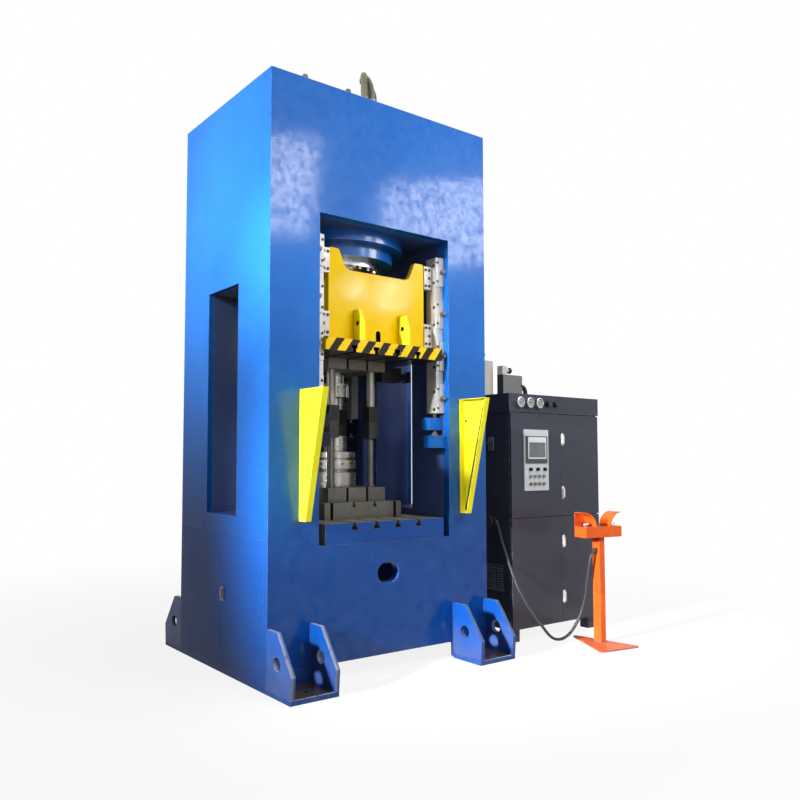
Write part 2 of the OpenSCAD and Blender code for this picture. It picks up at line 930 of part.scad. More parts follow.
module gauges() {
  color([0.8, 0.8, 0.8])
    for (i = [0 : 2])
      translate([panel_x - 53 + i * 112, 0, gauge_z]) bar_y(gauge_r, strip_front - 26, strip_front);
}

// Knob of a gauge valve
module knob(i) {
  translate([knob_x + knob_pitch * i, 0, gauge_z]) {
    difference() {
      bar_y(24, strip_front - 34, strip_front - 6);
      for (a = [0 : 60 : 300])
        rotate([0, a, 0]) translate([27, 0, 0]) bar_y(7, strip_front - 35, strip_front - 5);
    }
    bar_y(stem_r, strip_front - 7, strip_front + 26);
  }
}

module knob_a() {
  color([0.1, 0.1, 0.1]) knob(0);
}

module knob_b() {
  color([0.1, 0.1, 0.1]) knob(1);
}

module lamps() {
  color([0.5, 0.6, 0.55])
    panel_row(row_lamp) {
      bar_y(button_r, panel_front - 12, panel_front);
      bar_y(stem_r, panel_front - 1, door_front + 8);
    }
}

// Push button in column i of its row
module push_button(i) {
  translate([col_first + i * col_pitch, 0, row_button]) {
    bar_y(button_r, panel_front - 14, panel_front - 5);
    bar_y(stem_r, panel_front - 6, door_front + 8);
  }
}

module button_red() {
  color([0.75, 0.1, 0.1]) push_button(0);
}

module button_green() {
  color([0.1, 0.5, 0.25]) push_button(1);
}

module button_a() {
  color([0.5, 0.5, 0.5]) push_button(2);
}

module button_b() {
  color([0.5, 0.5, 0.5]) push_button(3);
}

// Selector with a raised grip
module selector(i) {
  translate([selector_x(i), 0, row_selector]) {
    bar_y(button_r, panel_front - 10, panel_front - 1);
    block([-5, panel_front - 26, -14], [5, panel_front - 9, 14]);
    bar_y(stem_r, panel_front - 2, door_front + 8);
  }
}

module selector_a() {
  color([0.1, 0.1, 0.1]) selector(0);
}

module selector_b() {
  color([0.1, 0.1, 0.1]) selector(1);
}

module selector_c() {
  color([0.1, 0.1, 0.1]) selector(2);
}

// Oil filter housing with its vent on the cabinet
module oil_filter() {
  color([0.66, 0.64, 0.58])
    translate([1500, -90, cabinet_height]) {
      block([0, 0, 0], [110, 150, 330]);
      translate([55, 100, 329]) cylinder(h = 50, d = 26);
      translate([55, 75, 379]) rotate([90, 0, 90])
        rotate_extrude(angle = 180) translate([25, 0, 0]) circle(d = 26);
    }
}

// Terminal box with a switch on the cabinet
module terminal_box() {
  color([0.3, 0.3, 0.31])
    translate([1640, -180, cabinet_height]) {
      block([0, 0, 0], [240, 70, 210]);
      block([-4, 5, 209], [50, 65, 285]);
      translate([49, 35, 250]) bar_x(20, 0, 40);
    }
}

// Tank, motor and pump in the cabinet's lower room
module power_unit() {
  floor_z = cabinet_feet + cabinet_wall;
  color([0.3, 0.34, 0.36]) {
    block([cabinet_left + 80, cab_front + 150, floor_z], [cab_right - 80, cab_front + 800, floor_z + 360]);
    block([cabinet_left + 330, cab_front + 330, floor_z + 359],
      [cabinet_left + 760, cab_front + 620, floor_z + 400]);
    translate([0, cab_front + 475, floor_z + 545]) bar_x(150, cabinet_left + 320, cabinet_left + 700);
    translate([0, cab_front + 475, floor_z + 545]) bar_x(90, cabinet_left + 699, cabinet_left + 880);
  }
}

module station() {
  color([0.9, 0.38, 0.12])
    translate([station_x, station_y, 0]) rotate([0, 0, station_turn]) {
      hull()
        for (p = [[-205, -224], [130, -224], [-35, 218]])
          translate([p[0], p[1], 0]) cylinder(h = 10, r = 24);
      block([-25, -37, 9], [25, 38, station_height + 1]);
      translate([0, 0, gland_z]) bar_x(16, -36, -24);
      difference() {
        block([-station_width / 2, -station_depth / 2, station_height],
          [station_width / 2, station_depth / 2, station_top]);
        block([-station_width / 2 + 4, -station_depth / 2 + 4, station_height + 4],
          [station_width / 2 - 4, station_depth / 2 - 4, station_top - 4]);
        for (x = [-palm_x, palm_x])
          translate([x, 0, station_top - 10]) cylinder(h = 20, r = 14 + run_gap);
      }
      both_sides()
        translate([-station_width / 2, station_depth / 2, station_top - 1]) rotate([90, 0, 0])
          hood_shell();
    }
}

// Quarter shell of a hood with its back plate
module hood_shell() {
  linear_extrude(height = station_depth)
    difference() {
      hood_quarter();
      circle(r = hood_radius - 4);
    }
  linear_extrude(height = 4) hood_quarter();
}

// Quarter disc of a hood
module hood_quarter() {
  intersection() {
    circle(r = hood_radius);
    square(hood_radius);
  }
}

// Mushroom button at one end of the station
module palm(x) {
  translate([station_x, station_y, station_top]) rotate([0, 0, station_turn]) translate([x, 0, 0]) {
    translate([0, 0, 12]) cylinder(h = 16, d = palm_diameter);
    translate([0, 0, 27]) cylinder(h = 8, d1 = palm_diameter, d2 = palm_diameter - 16);
    translate([0, 0, -40]) cylinder(h = 53, r = 14);
  }
}

module palm_left() {
  color([0.82, 0.82, 0.83]) palm(-palm_x);
}

module palm_right() {
  color([0.82, 0.82, 0.83]) palm(palm_x);
}

// Round socket with its cord gland on the cabinet's left side
module cord_socket() {
  color([0.15, 0.15, 0.15])
    translate([0, -400, 930]) {
      bar_x(46, cabinet_left - 30, cabinet_left);
      translate([cabinet_left - 22, 0, 0]) bar_y(17, -68, -40);
    }
}

// Smooth curve through the cord's points
function curve_at(p, i, t) =
  let (n = len(p) - 1)
  let (a = p[max(i - 1, 0)], b = p[i], c = p[min(i + 1, n)], d = p[min(i + 2, n)])
  0.5 * (2 * b + (c - a) * t + (2 * a - 5 * b + 4 * c - d) * t * t + (3 * b - a - 3 * c + d) * t * t * t);
function unit(v) = v / norm(v);
cord_path = [
  for (i = [0 : len(cord_points) - 2])
    for (k = [0 : (i == len(cord_points) - 2 ? 4 : 3)])
      curve_at(cord_points, i, k / 4)
];
cord_count = len(cord_path);
function cord_way(i) = unit(cord_path[min(i + 1, cord_count - 1)] - cord_path[max(i - 1, 0)]);
function cord_ring(i) =
  let (w = cord_way(i))
  let (u = unit(cross(w, [0.3, 0.9, 0.1])))
  let (v = cross(w, u))
  [for (k = [0 : cord_sides - 1])
    cord_path[i] + cord_r * (cos(360 * k / cord_sides) * u + sin(360 * k / cord_sides) * v)];

module cord() {
  points = [for (i = [0 : cord_count - 1]) each cord_ring(i)];
  walls = [
    for (i = [0 : cord_count - 2])
      for (k = [0 : cord_sides - 1])
        let (m = (k + 1) % cord_sides)
        [i * cord_sides + k, i * cord_sides + m, (i + 1) * cord_sides + m, (i + 1) * cord_sides + k]
  ];
  first = [for (k = [cord_sides - 1 : -1 : 0]) k];
  last = [for (k = [0 : cord_sides - 1]) (cord_count - 1) * cord_sides + k];
  color([0.12, 0.12, 0.12]) polyhedron(points = points, faces = concat([first], walls, [last]));
}

frame();
inner_frame();
gussets();
bolster();
main_cylinder();
gland_ring();
piston_rod();
ejector_cylinder();
ejector_rod();
ram();
ram_lugs();
slide_plate();
ram_shoes();
guide_rails();
guide_pads();
guide_bolts();
upper_bars();
guide_sleeves();
punch();
side_cylinder();
die_shoe();
die_bars();
guide_pillars();
die_rings();
guard_left();
guard_right();
rear_guard();
base_door_lf();
base_door_lr();
latch_left();
hoses();
hose_fittings();
cabinet();
cab_door_ul();
cab_door_ur();
cab_door_ll();
cab_door_lr();
handles_upper();
handles_lower();
operator_panel();
screen_unit();
gauges();
knob_a();
knob_b();
lamps();
button_red();
button_green();
button_a();
button_b();
selector_a();
selector_b();
selector_c();
oil_filter();
terminal_box();
power_unit();
station();
palm_left();
palm_right();
cord_socket();
cord();
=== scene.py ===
"""Looks of a hydraulic forging press with its control cabinet and two-hand station."""

import math

import bmesh
import bpy
from bpy.props import FloatProperty, FloatVectorProperty, IntProperty, PointerProperty
from mathutils import Matrix, Vector


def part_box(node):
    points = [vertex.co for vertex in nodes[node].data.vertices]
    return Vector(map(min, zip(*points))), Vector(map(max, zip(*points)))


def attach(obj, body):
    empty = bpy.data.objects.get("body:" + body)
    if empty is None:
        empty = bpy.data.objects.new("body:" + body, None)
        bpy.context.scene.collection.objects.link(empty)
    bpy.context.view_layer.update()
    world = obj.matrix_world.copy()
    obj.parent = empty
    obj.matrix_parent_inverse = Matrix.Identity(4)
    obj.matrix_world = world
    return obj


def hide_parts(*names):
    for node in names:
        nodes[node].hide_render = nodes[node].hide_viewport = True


bl_info = {
    "name": "Forging press looks",
    "version": (1, 0, 0),
    "blender": (4, 5, 0),
    "location": "View3D > Sidebar > Press",
    "description": "Paints and details the forging press, its cabinet and its two-hand station",
    "category": "Object",
}

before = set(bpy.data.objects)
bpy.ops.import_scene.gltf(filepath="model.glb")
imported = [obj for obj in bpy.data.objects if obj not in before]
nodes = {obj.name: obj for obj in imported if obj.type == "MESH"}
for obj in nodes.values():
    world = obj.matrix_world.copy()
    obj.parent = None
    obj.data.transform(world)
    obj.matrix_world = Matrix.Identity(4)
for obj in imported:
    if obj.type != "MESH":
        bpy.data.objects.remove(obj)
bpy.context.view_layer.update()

RIGHT, LEFT, BACK, FRONT, UP = (1, 0, 0), (-1, 0, 0), (0, 1, 0), (0, -1, 0), (0, 0, 1)
EVEN_GRAIN = (1, 1, 1)
MID_GREY = (0.5, 0.5, 0.5)
CAMERA_PLACE = (-3.33308, -4.71584, 1.42299)
CAMERA_YAW, CAMERA_PITCH, CAMERA_ROLL = 0.612937, 0.0592782, 0.00316198
CAMERA_SHIFT = (0.0833, 0.0161)
SENSOR_WIDTH = 36
FLOOR_RADIUS = 40
CORD_RADIUS = 0.011
BEAD_STEP = 0.004
GUSSET_PITCH, FIRST_GUSSET = 0.315, -0.945
RAIL_SCREW_PITCH, PAD_PITCH = 0.3123, 0.31233
HOSE_SPAN, HOSE_RISE, HOSE_RADIUS, HOSE_STEPS = 0.45, 0.228, 0.0235, 32
FERRULE, GROOVE = 0.0305, 0.029
CABINET_SIDE, HANDLE_LINE = 1.250, 1.864
BUTTON_HOLE, DIAL_RADIUS = 0.0148, 0.0325
SEAL_LINE = 0.7125


def srgb(red, green, blue):
    """Linear colour of an 8-bit one."""
    return tuple(c / 12.92 if c <= 0.04045 else ((c + 0.055) / 1.055) ** 2.4
                 for c in (red / 255, green / 255, blue / 255))


def paint(name, what, default):
    return FloatVectorProperty(name=name, description=what, subtype="COLOR", size=3,
                               min=0, max=1, default=srgb(*default))


def size(name, what, default):
    return FloatProperty(name=name, description=what, subtype="DISTANCE", unit="LENGTH",
                         min=0, default=default)


def power(name, what, default):
    return FloatProperty(name=name, description=what, subtype="POWER", unit="POWER", default=default)


class PressColours(bpy.types.PropertyGroup):
    """Colours of the paints, metals and plastics."""

    frame_blue: paint("Frame blue", "Gloss paint of the frame", (28, 106, 194))
    # Blue of the painted shade towards the floor; the weld beads and toe plates low on the feet take it too.
    shade_low_blue: paint("Low blue", "Deeper paint towards the floor", (8, 62, 132))
    inner_navy: paint("Inner navy", "Shaded paint inside the frame", (72, 92, 146))
    ram_yellow: paint("Ram yellow", "Gloss paint of the ram", (254, 208, 6))
    guard_yellow: paint("Guard yellow", "Gloss paint of the guards", (255, 244, 40))
    stripe_black: paint("Stripe black", "Stripes on the slide plate's edge", (30, 26, 23))
    cut_edge: paint("Cut edge", "Bare flame-cut edges of the gussets", (120, 130, 148))
    shop_dirt: paint("Shop dirt", "Trodden dirt on the foot plates", (66, 56, 48))
    table_steel: paint("Table steel", "Milled bolster", (150, 147, 138))
    guide_steel: paint("Guide steel", "Ground guide rails, pads and shoes", (214, 213, 210))
    tool_steel: paint("Tool steel", "Oiled die plates", (104, 103, 97))
    ring_steel: paint("Ring steel", "Turned die rings and punch", (158, 156, 151))
    chrome: paint("Chrome", "Plated rods, handles and cases", (222, 223, 226))
    screw_black: paint("Screw black", "Blackened screws and fittings", (30, 30, 32))
    cabinet_grey: paint("Cabinet grey", "Satin paint of the cabinet", (60, 62, 74))
    panel_grey: paint("Panel grey", "Paint of the operator panel", (206, 210, 214))
    screen_grey: paint("Screen grey", "Switched-off screen", (84, 90, 96))
    filter_beige: paint("Filter beige", "Paint of the oil filter", (206, 201, 186))
    station_orange: paint("Station orange", "Paint of the two-hand station", (210, 86, 28))
    hose_grey: paint("Hose grey", "Braid of the crown hoses", (122, 122, 100))
    cord_black: paint("Cord black", "Jacket of the station's cord", (40, 40, 42))


class PressSizes(bpy.types.PropertyGroup):
    """Sizes of the added details."""

    shoe_screw: size("Shoe screw", "Head diameter of the shoe screws", 0.020)
    pad_screw: size("Pad screw", "Head diameter of the pad screws", 0.018)
    weld_leg: size("Weld leg", "Radius of a weld bead on the feet", 0.007)
    stripe_pitch: size("Stripe pitch", "Distance from stripe to stripe on the slide plate", 0.133)
    # Also the width of the painted highlights along edges.
    edge_width: size("Edge width", "Width of worn paint along an edge", 0.004)
    bezel: size("Bezel", "Outer radius of a button's bezel", 0.0195)
    gauge_lip: size("Gauge lip", "Height of a gauge's bezel", 0.007)
    louvre_rows: IntProperty(name="Louvre rows", description="Slats in a column of the vent",
                             min=2, max=20, default=9)


class PressStage(bpy.types.PropertyGroup):
    """Camera and light."""

    lens: FloatProperty(name="Lens", description="Focal length in millimetres", default=34.58,
                        min=10, max=200)
    ambient: FloatProperty(name="Ambient", description="Even light from all round", default=0.22,
                           min=0, max=2)
    front_power: power("Front light", "Power of the front light", 94)
    fill_power: power("Fill light", "Power of the low light beside the camera", 36)
    side_power: power("Side light", "Power of each narrow light from the left", 46)
    box_power: power("Soft boxes", "Power of each small soft box", 40)


def colours():
    return bpy.context.scene.press_colours


def sizes():
    return bpy.context.scene.press_sizes


def add(tree, kind, fill=None, **settings):
    """One node with its settings, and its inputs filled with values or links."""
    node = tree.nodes.new("ShaderNode" + kind)
    for key, value in settings.items():
        setattr(node, key, value)
    for key, value in (fill or {}).items():
        socket = node.inputs[key]
        if isinstance(value, bpy.types.NodeSocket):
            tree.links.new(value, socket)
        elif socket.type == "RGBA" and len(value) == 3:
            socket.default_value = (*value, 1)
        else:
            socket.default_value = value
    return node


def calc(tree, operation, *values, clamp=False):
    """Result of one Math node."""
    return add(tree, "Math", dict(enumerate(values)), operation=operation, use_clamp=clamp).outputs[0]


def times(tree, first, *others, clamp=False):
    """Product of values."""
    for other in others:
        first = calc(tree, "MULTIPLY", first, other, clamp=clamp)
    return first


def span(tree, value):
    """Distance of a value from zero."""
    return calc(tree, "ABSOLUTE", value)


def mix(tree, share, first, second, mode="MIX"):
    """Colour between two colours."""
    node = add(tree, "Mix", {0: share, 6: first, 7: second}, data_type="RGBA", blend_type=mode)
    return node.outputs[2]


def ramp(tree, value, low, high, start=0.0, end=1.0):
    """Value stretched from one range to another and held at its ends."""
    return add(tree, "MapRange", {"Value": value, "From Min": low, "From Max": high,
                                  "To Min": start, "To Max": end}).outputs[0]


def here(tree):
    """A point in the piece's own coordinates."""
    return add(tree, "TexCoord").outputs["Object"]


def noise(tree, scale, detail=3.0, roughness=0.55, stretch=None):
    """Noise over the piece's own coordinates, as a value."""
    place = here(tree)
    if stretch is not None:
        place = add(tree, "Mapping", {"Vector": place, "Scale": stretch}).outputs[0]
    return add(tree, "TexNoise", {"Vector": place, "Scale": scale, "Detail": detail,
                                  "Roughness": roughness}).outputs[0]


def place_of(tree):
    """X, Y and Z of a point in the press's own frame."""
    return add(tree, "SeparateXYZ", {0: here(tree)}).outputs


def facing(tree):
    """X, Y and Z of the surface's direction."""
    turn = add(tree, "TexCoord").outputs["Normal"]
    return add(tree, "SeparateXYZ", {0: turn}).outputs


def group(name, takes, gives):
    """Empty node group, with its input sockets and its output sockets."""
    tree = bpy.data.node_groups.new(name, "ShaderNodeTree")
    for label, kind, default in takes:
        socket = tree.interface.new_socket(label, in_out="INPUT", socket_type="NodeSocket" + kind)
        socket.default_value = (*default, 1) if kind == "Color" else default
    for label, kind in gives:
        tree.interface.new_socket(label, in_out="OUTPUT", socket_type="NodeSocket" + kind)
    return tree, tree.nodes.new("NodeGroupInput").outputs, tree.nodes.new("NodeGroupOutput").inputs


def make_paint_film():
    """Gloss paint with slow changes of tone and an orange-peel skin."""
    tree, have, give = group(
        "paint_film",
        [("Color", "Color", MID_GREY), ("Roughness", "Float", 0.3), ("Peel", "Float", 0.5)],
        [("Color", "Color"), ("Roughness", "Float"), ("Height", "Float")])
    cloud = noise(tree, 1.7, 4.0)
    deep = mix(tree, 1.0, have["Color"], (0.78, 0.82, 0.88), "MULTIPLY")
    tree.links.new(mix(tree, ramp(tree, cloud, 0.35, 0.72), have["Color"], deep), give["Color"])
    smear = ramp(tree, noise(tree, 6.0, 5.0), 0.3, 0.75, -0.05, 0.09)
    tree.links.new(calc(tree, "ADD", have["Roughness"], smear), give["Roughness"])
    peel = calc(tree, "ADD", noise(tree, 55.0, 3.0), times(tree, noise(tree, 9.0, 2.0), 2.5))
    tree.links.new(times(tree, peel, have["Peel"]), give["Height"])


def make_edge_wear_and_highlight():
    """Paint rubbed through along sharp edges, and pale edge lines that are painted highlights."""
    tree, have, give = group(
        "edge_wear_and_highlight",
        [("Color", "Color", MID_GREY), ("Bare", "Color", (0.6, 0.6, 0.6)),
         ("Width", "Float", 0.004), ("Amount", "Float", 0.5)],
        [("Color", "Color")])
    soft = add(tree, "Bevel", {"Radius": have["Width"]}, samples=6).outputs[0]
    hard = add(tree, "NewGeometry").outputs["Normal"]
    bend = add(tree, "VectorMath", {0: soft, 1: hard}, operation="DOT_PRODUCT").outputs["Value"]
    # The same edge mask paints wear and pale painted highlights along edges.
    edge = ramp(tree, bend, 0.995, 0.86)
    chips = ramp(tree, noise(tree, 38.0, 6.0, 0.7), 0.42, 0.62)
    mask = times(tree, edge, chips, have["Amount"], clamp=True)
    tree.links.new(mix(tree, mask, have["Color"], have["Bare"]), give["Color"])


def make_floor_dust():
    """Dust on faces that look up and near the floor."""
    tree, have, give = group(
        "floor_dust",
        [("Color", "Color", MID_GREY), ("Dust", "Color", (0.35, 0.32, 0.28)),
         ("Reach", "Float", 0.4), ("Amount", "Float", 0.3)],
        [("Color", "Color"), ("Mask", "Float")])
    up = ramp(tree, facing(tree)["Z"], 0.5, 0.95)
    low = ramp(tree, calc(tree, "DIVIDE", place_of(tree)["Z"], have["Reach"]), 1.0, 0.0)
    patches = ramp(tree, noise(tree, 5.0, 6.0, 0.65), 0.3, 0.75)
    mask = times(tree, calc(tree, "ADD", up, low, clamp=True), patches, have["Amount"], clamp=True)
    tree.links.new(mask, give["Mask"])
    tree.links.new(mix(tree, mask, have["Color"], have["Dust"]), give["Color"])


def make_corner_oil_and_shade():
    """Darkening in corners and hollows found by ambient occlusion: painted shade, streaked with oil and dirt.
    """
    tree, have, give = group(
        "corner_oil_and_shade",
        [("Color", "Color", MID_GREY), ("Oil", "Color", (0.03, 0.025, 0.02)),
         ("Reach", "Float", 0.05), ("Amount", "Float", 0.6)],
        [("Color", "Color")])
    # Ambient occlusion darkens corners and hollows: painted shade, broken by oil streaks.
    near = add(tree, "AmbientOcclusion", {"Distance": have["Reach"]}, samples=6).outputs["AO"]
    shaded_nook = ramp(tree, near, 0.95, 0.35)
    streaks = ramp(tree, noise(tree, 14.0, 5.0, 0.65, (1, 1, 0.35)), 0.3, 0.7, 0.35, 1.0)
    mask = times(tree, shaded_nook, streaks, have["Amount"], clamp=True)
    tree.links.new(mix(tree, mask, have["Color"], have["Oil"]), give["Color"])


def make_steel_grain():
    """Machined steel with fine lines along one way."""
    tree, have, give = group(
        "steel_grain",
        [("Color", "Color", (0.6, 0.6, 0.6)), ("Stretch", "Vector", (1.0, 1.0, 1.0)),
         ("Roughness", "Float", 0.35), ("Depth", "Float", 0.5)],
        [("Color", "Color"), ("Roughness", "Float"), ("Height", "Float")])
    lines = add(tree, "VectorMath", {0: here(tree), 1: have["Stretch"]}, operation="MULTIPLY").outputs[0]
    grain = add(tree, "TexNoise", {"Vector": lines, "Scale": 60.0, "Detail": 5.0}).outputs[0]
    stain = ramp(tree, noise(tree, 7.0, 5.0, 0.6), 0.35, 0.75)
    dark = mix(tree, 1.0, have["Color"], (0.62, 0.6, 0.57), "MULTIPLY")
    tone = mix(tree, stain, have["Color"], dark)
    tree.links.new(mix(tree, ramp(tree, grain, 0.3, 0.7, 0.0, 0.35), tone, dark), give["Color"])
    rough = calc(tree, "ADD", have["Roughness"], ramp(tree, grain, 0.3, 0.7, -0.07, 0.1))
    tree.links.new(calc(tree, "ADD", rough, ramp(tree, stain, 0.0, 1.0, 0.0, 0.12)), give["Roughness"])
    tree.links.new(times(tree, grain, have["Depth"]), give["Height"])


def make_hose_braid():
    """Crossed strands of a braided hose."""
    tree, have, give = group(
        "hose_braid",
        [("Color", "Color", (0.3, 0.3, 0.25)), ("Gap", "Color", (0.06, 0.06, 0.05)),
         ("Scale", "Float", 120.0)],
        [("Color", "Color"), ("Height", "Float")])
    place = here(tree)
    strands = []
    for turn in (0.7, -0.7):
        lean = add(tree, "Mapping", {"Vector": place, "Rotation": (turn, turn, 0.3)}).outputs[0]
        strands.append(add(tree, "TexWave", {"Vector": lean, "Scale": have["Scale"], "Distortion": 0.6},
                           wave_type="BANDS", bands_direction="Z").outputs["Fac"])
    weave = calc(tree, "MAXIMUM", *strands)
    tree.links.new(mix(tree, ramp(tree, weave, 0.35, 0.75), have["Gap"], have["Color"]), give["Color"])
    tree.links.new(weave, give["Height"])


def use(tree, name, **fill):
    """Places a node group and fills its inputs."""
    return add(tree, "Group", fill, node_tree=bpy.data.node_groups[name]).outputs


def start(name):
    """New material with its tree and its shader."""
    material = bpy.data.materials.new(name)
    material.use_nodes = True
    tree = material.node_tree
    return material, tree, tree.nodes["Principled BSDF"]


def fill_shader(tree, shader, colour, roughness, height=None, depth=0.001, strength=0.4):
    """Links the colour, roughness and relief of a surface."""
    tree.links.new(colour, shader.inputs["Base Color"])
    tree.links.new(roughness, shader.inputs["Roughness"])
    if height is not None:
        bump = add(tree, "Bump", {"Height": height, "Distance": depth, "Strength": strength})
        tree.links.new(bump.outputs[0], shader.inputs["Normal"])


def painted(name, colour, bare, roughness=0.3, peel=0.5, wear_and_highlight=0.35, dust=0.25, reach=0.5, oil_and_shade=0.0,
            gloss=0.22, local=None, lacquer=None):
    """Painted sheet or plate; local paints its own marks over the film, lacquer its own gloss."""
    material, tree, shader = start(name)
    film = use(tree, "paint_film", Color=colour, Roughness=roughness, Peel=peel)
    tone = film["Color"] if local is None else local(tree, film["Color"])
    worn_and_highlit = use(tree, "edge_wear_and_highlight", Color=tone, Bare=bare, Width=sizes().edge_width, Amount=wear_and_highlight)
    dusty = use(tree, "floor_dust", Color=worn_and_highlit["Color"], Dust=srgb(120, 112, 102), Reach=reach, Amount=dust)
    tone = dusty["Color"]
    rough = calc(tree, "ADD", film["Roughness"], times(tree, dusty["Mask"], 0.5), clamp=True)
    if oil_and_shade:
        tone = use(tree, "corner_oil_and_shade", Color=tone, Oil=srgb(28, 24, 20), Reach=0.06, Amount=oil_and_shade)["Color"]
    shader.inputs["Specular IOR Level"].default_value = gloss
    if lacquer is not None:
        shader.inputs["Coat Roughness"].default_value = 0.1
        tree.links.new(lacquer(tree), shader.inputs["Coat Weight"])
    fill_shader(tree, shader, tone, rough, film["Height"], 0.0006, 0.35)
    return material


def machined(name, colour, stretch, roughness=0.35, metallic=1.0, oil_and_shade=0.5, reach=0.04, depth=0.4, wear_and_highlight=0.4,
             local=None):
    """Machined or plated steel; local adds its own marks."""
    material, tree, shader = start(name)
    grain = use(tree, "steel_grain", Color=colour, Stretch=stretch, Roughness=roughness, Depth=depth)
    tone = grain["Color"] if local is None else local(tree, grain["Color"])
    bright = use(tree, "edge_wear_and_highlight", Color=tone, Bare=srgb(214, 210, 202),
                 Width=sizes().edge_width * 0.6, Amount=wear_and_highlight)
    oiled_and_shaded = use(tree, "corner_oil_and_shade", Color=bright["Color"], Oil=srgb(30, 26, 22), Reach=reach, Amount=oil_and_shade)
    shader.inputs["Metallic"].default_value = metallic
    fill_shader(tree, shader, oiled_and_shaded["Color"], grain["Roughness"], grain["Height"], 0.0004, 0.3)
    return material


def moulded(name, colour, roughness=0.45, grain=220.0, coat=0.0):
    """Moulded plastic or rubber with a fine skin."""
    material, tree, shader = start(name)
    skin = noise(tree, grain, 3.0)
    film = use(tree, "paint_film", Color=colour, Roughness=roughness, Peel=0.3)
    worn_and_highlit = use(tree, "edge_wear_and_highlight", Color=film["Color"], Bare=[min(1, c * 1.6 + 0.02) for c in colour],
               Width=0.0015, Amount=0.5)
    shader.inputs["Coat Weight"].default_value = coat
    fill_shader(tree, shader, worn_and_highlit["Color"], film["Roughness"], skin, 0.0003, 0.25)
    return material


def dress(material, *names):
    """Puts one material on whole CAD nodes."""
    for name in names:
        slots = nodes[name].data.materials
        slots.clear()
        slots.append(material)


def circle(count):
    """Cosines and sines of even turns."""
    return [(math.cos(2 * math.pi * i / count), math.sin(2 * math.pi * i / count)) for i in range(count)]


class Shape:
    """Mesh of one piece, gathered from simple forms in metres."""

    def __init__(self):
        self.mesh = bmesh.new()

    def faces(self, points, loops, finish=0):
        corners = [self.mesh.verts.new(p) for p in points]
        for loop in loops:
            self.mesh.faces.new([corners[i] for i in loop]).material_index = finish

    def prism(self, outline, foot, across, up, out, finish=0):
        """Flat outline in two directions, thickened along out."""
        foot, across, up, out = Vector(foot), Vector(across), Vector(up), Vector(out)
        base = [foot + across * a + up * b for a, b in outline]
        count = len(base)
        loops = [tuple(range(count)), tuple(range(2 * count - 1, count - 1, -1))]
        loops += [(i, i + count, (i + 1) % count + count, (i + 1) % count) for i in range(count)]
        self.faces(base + [p + out for p in base], loops, finish)

    def block(self, low, high, finish=0):
        wide, deep, tall = (b - a for a, b in zip(low, high))
        self.prism([(0, 0), (wide, 0), (wide, deep), (0, deep)], low, RIGHT, BACK, (0, 0, tall), finish)

    def skin(self, rings, finish):
        """Faces from ring to ring; a ring of one point is a tip."""
        for first, second in zip(rings, rings[1:]):
            count = max(len(first), len(second))
            for i in range(count):
                j = (i + 1) % count
                loop = list(dict.fromkeys((first[i % len(first)], first[j % len(first)],
                                           second[j % len(second)], second[i % len(second)])))
                if len(loop) > 2:
                    self.mesh.faces.new(loop).material_index = finish

    def lathe(self, foot, axis, profile, sides=32, finish=0):
        """Profile of radius and height turned about an axis from its foot."""
        turn = Vector(axis).to_track_quat("Z", "Y").to_matrix()
        foot = Vector(foot)
        rings = []
        for radius, height in profile:
            count = sides if radius > 1e-6 else 1
            rings.append([self.mesh.verts.new(foot + turn @ Vector((radius * c, radius * s, height)))
                          for c, s in circle(count)])
        self.skin(rings, finish)

    def sweep(self, path, radii, sides=10, finish=0):
        """Tube along a path with its own radius at each point."""
        path = [Vector(p) for p in path]
        rings, side = [], None
        for i, point in enumerate(path):
            way = (path[min(i + 1, len(path) - 1)] - path[max(i - 1, 0)]).normalized()
            side = way.orthogonal() if side is None else side - way * side.dot(way)
            side.normalize()
            other = way.cross(side)
            rings.append([self.mesh.verts.new(point + radii[i] * (side * c + other * s))
                          for c, s in circle(sides)])
        self.skin(rings, finish)
        for end in (rings[0][::-1], rings[-1]):
            self.mesh.faces.new(end).material_index = finish

    def screw(self, foot, axis, width, height, finish=0, hole=1):
        """Socket screw head with its recess."""
        r, socket, floor = width / 2, width / 2 * 0.56, height * 0.35
        self.lathe(foot, axis, [(r, 0), (r, height * 0.85), (r * 0.92, height), (socket, height)], 24, finish)
        self.lathe(foot, axis, [(socket, height), (socket, floor), (0, floor)], 6, hole)

    def piece(self, name, body, materials, slot, bevel=0.0, angle=35):
        """Turns the mesh into a piece that rides on a body."""
        bmesh.ops.recalc_face_normals(self.mesh, faces=self.mesh.faces)
        data = bpy.data.meshes.new(name)
        self.mesh.to_mesh(data)
        self.mesh.free()
        data.shade_smooth()
        data.set_sharp_from_angle(angle=math.radians(angle))
        for material in materials:
            data.materials.append(material)
        made = bpy.data.objects.new(name, data)
        bpy.context.scene.collection.objects.link(made)
        if bevel:
            edges = made.modifiers.new("rounded_edges", "BEVEL")
            edges.width = bevel
            edges.segments = 2
            edges.limit_method = "ANGLE"
            edges.harden_normals = True
        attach(made, body)
        return made


def rounded(width, height, radius, steps=5):
    """Outline of a rectangle with round corners, about its middle."""
    points = []
    for cx, cy, first in ((1, 1, 0), (-1, 1, 90), (-1, -1, 180), (1, -1, 270)):
        for i in range(steps + 1):
            a = math.radians(first + 90 * i / steps)
            points.append((cx * (width / 2 - radius) + radius * math.cos(a),
                           cy * (height / 2 - radius) + radius * math.sin(a)))
    return points


def corners():
    """Signs of the four corners of the press."""
    return [(x, y) for x in (-1, 1) for y in (-1, 1)]


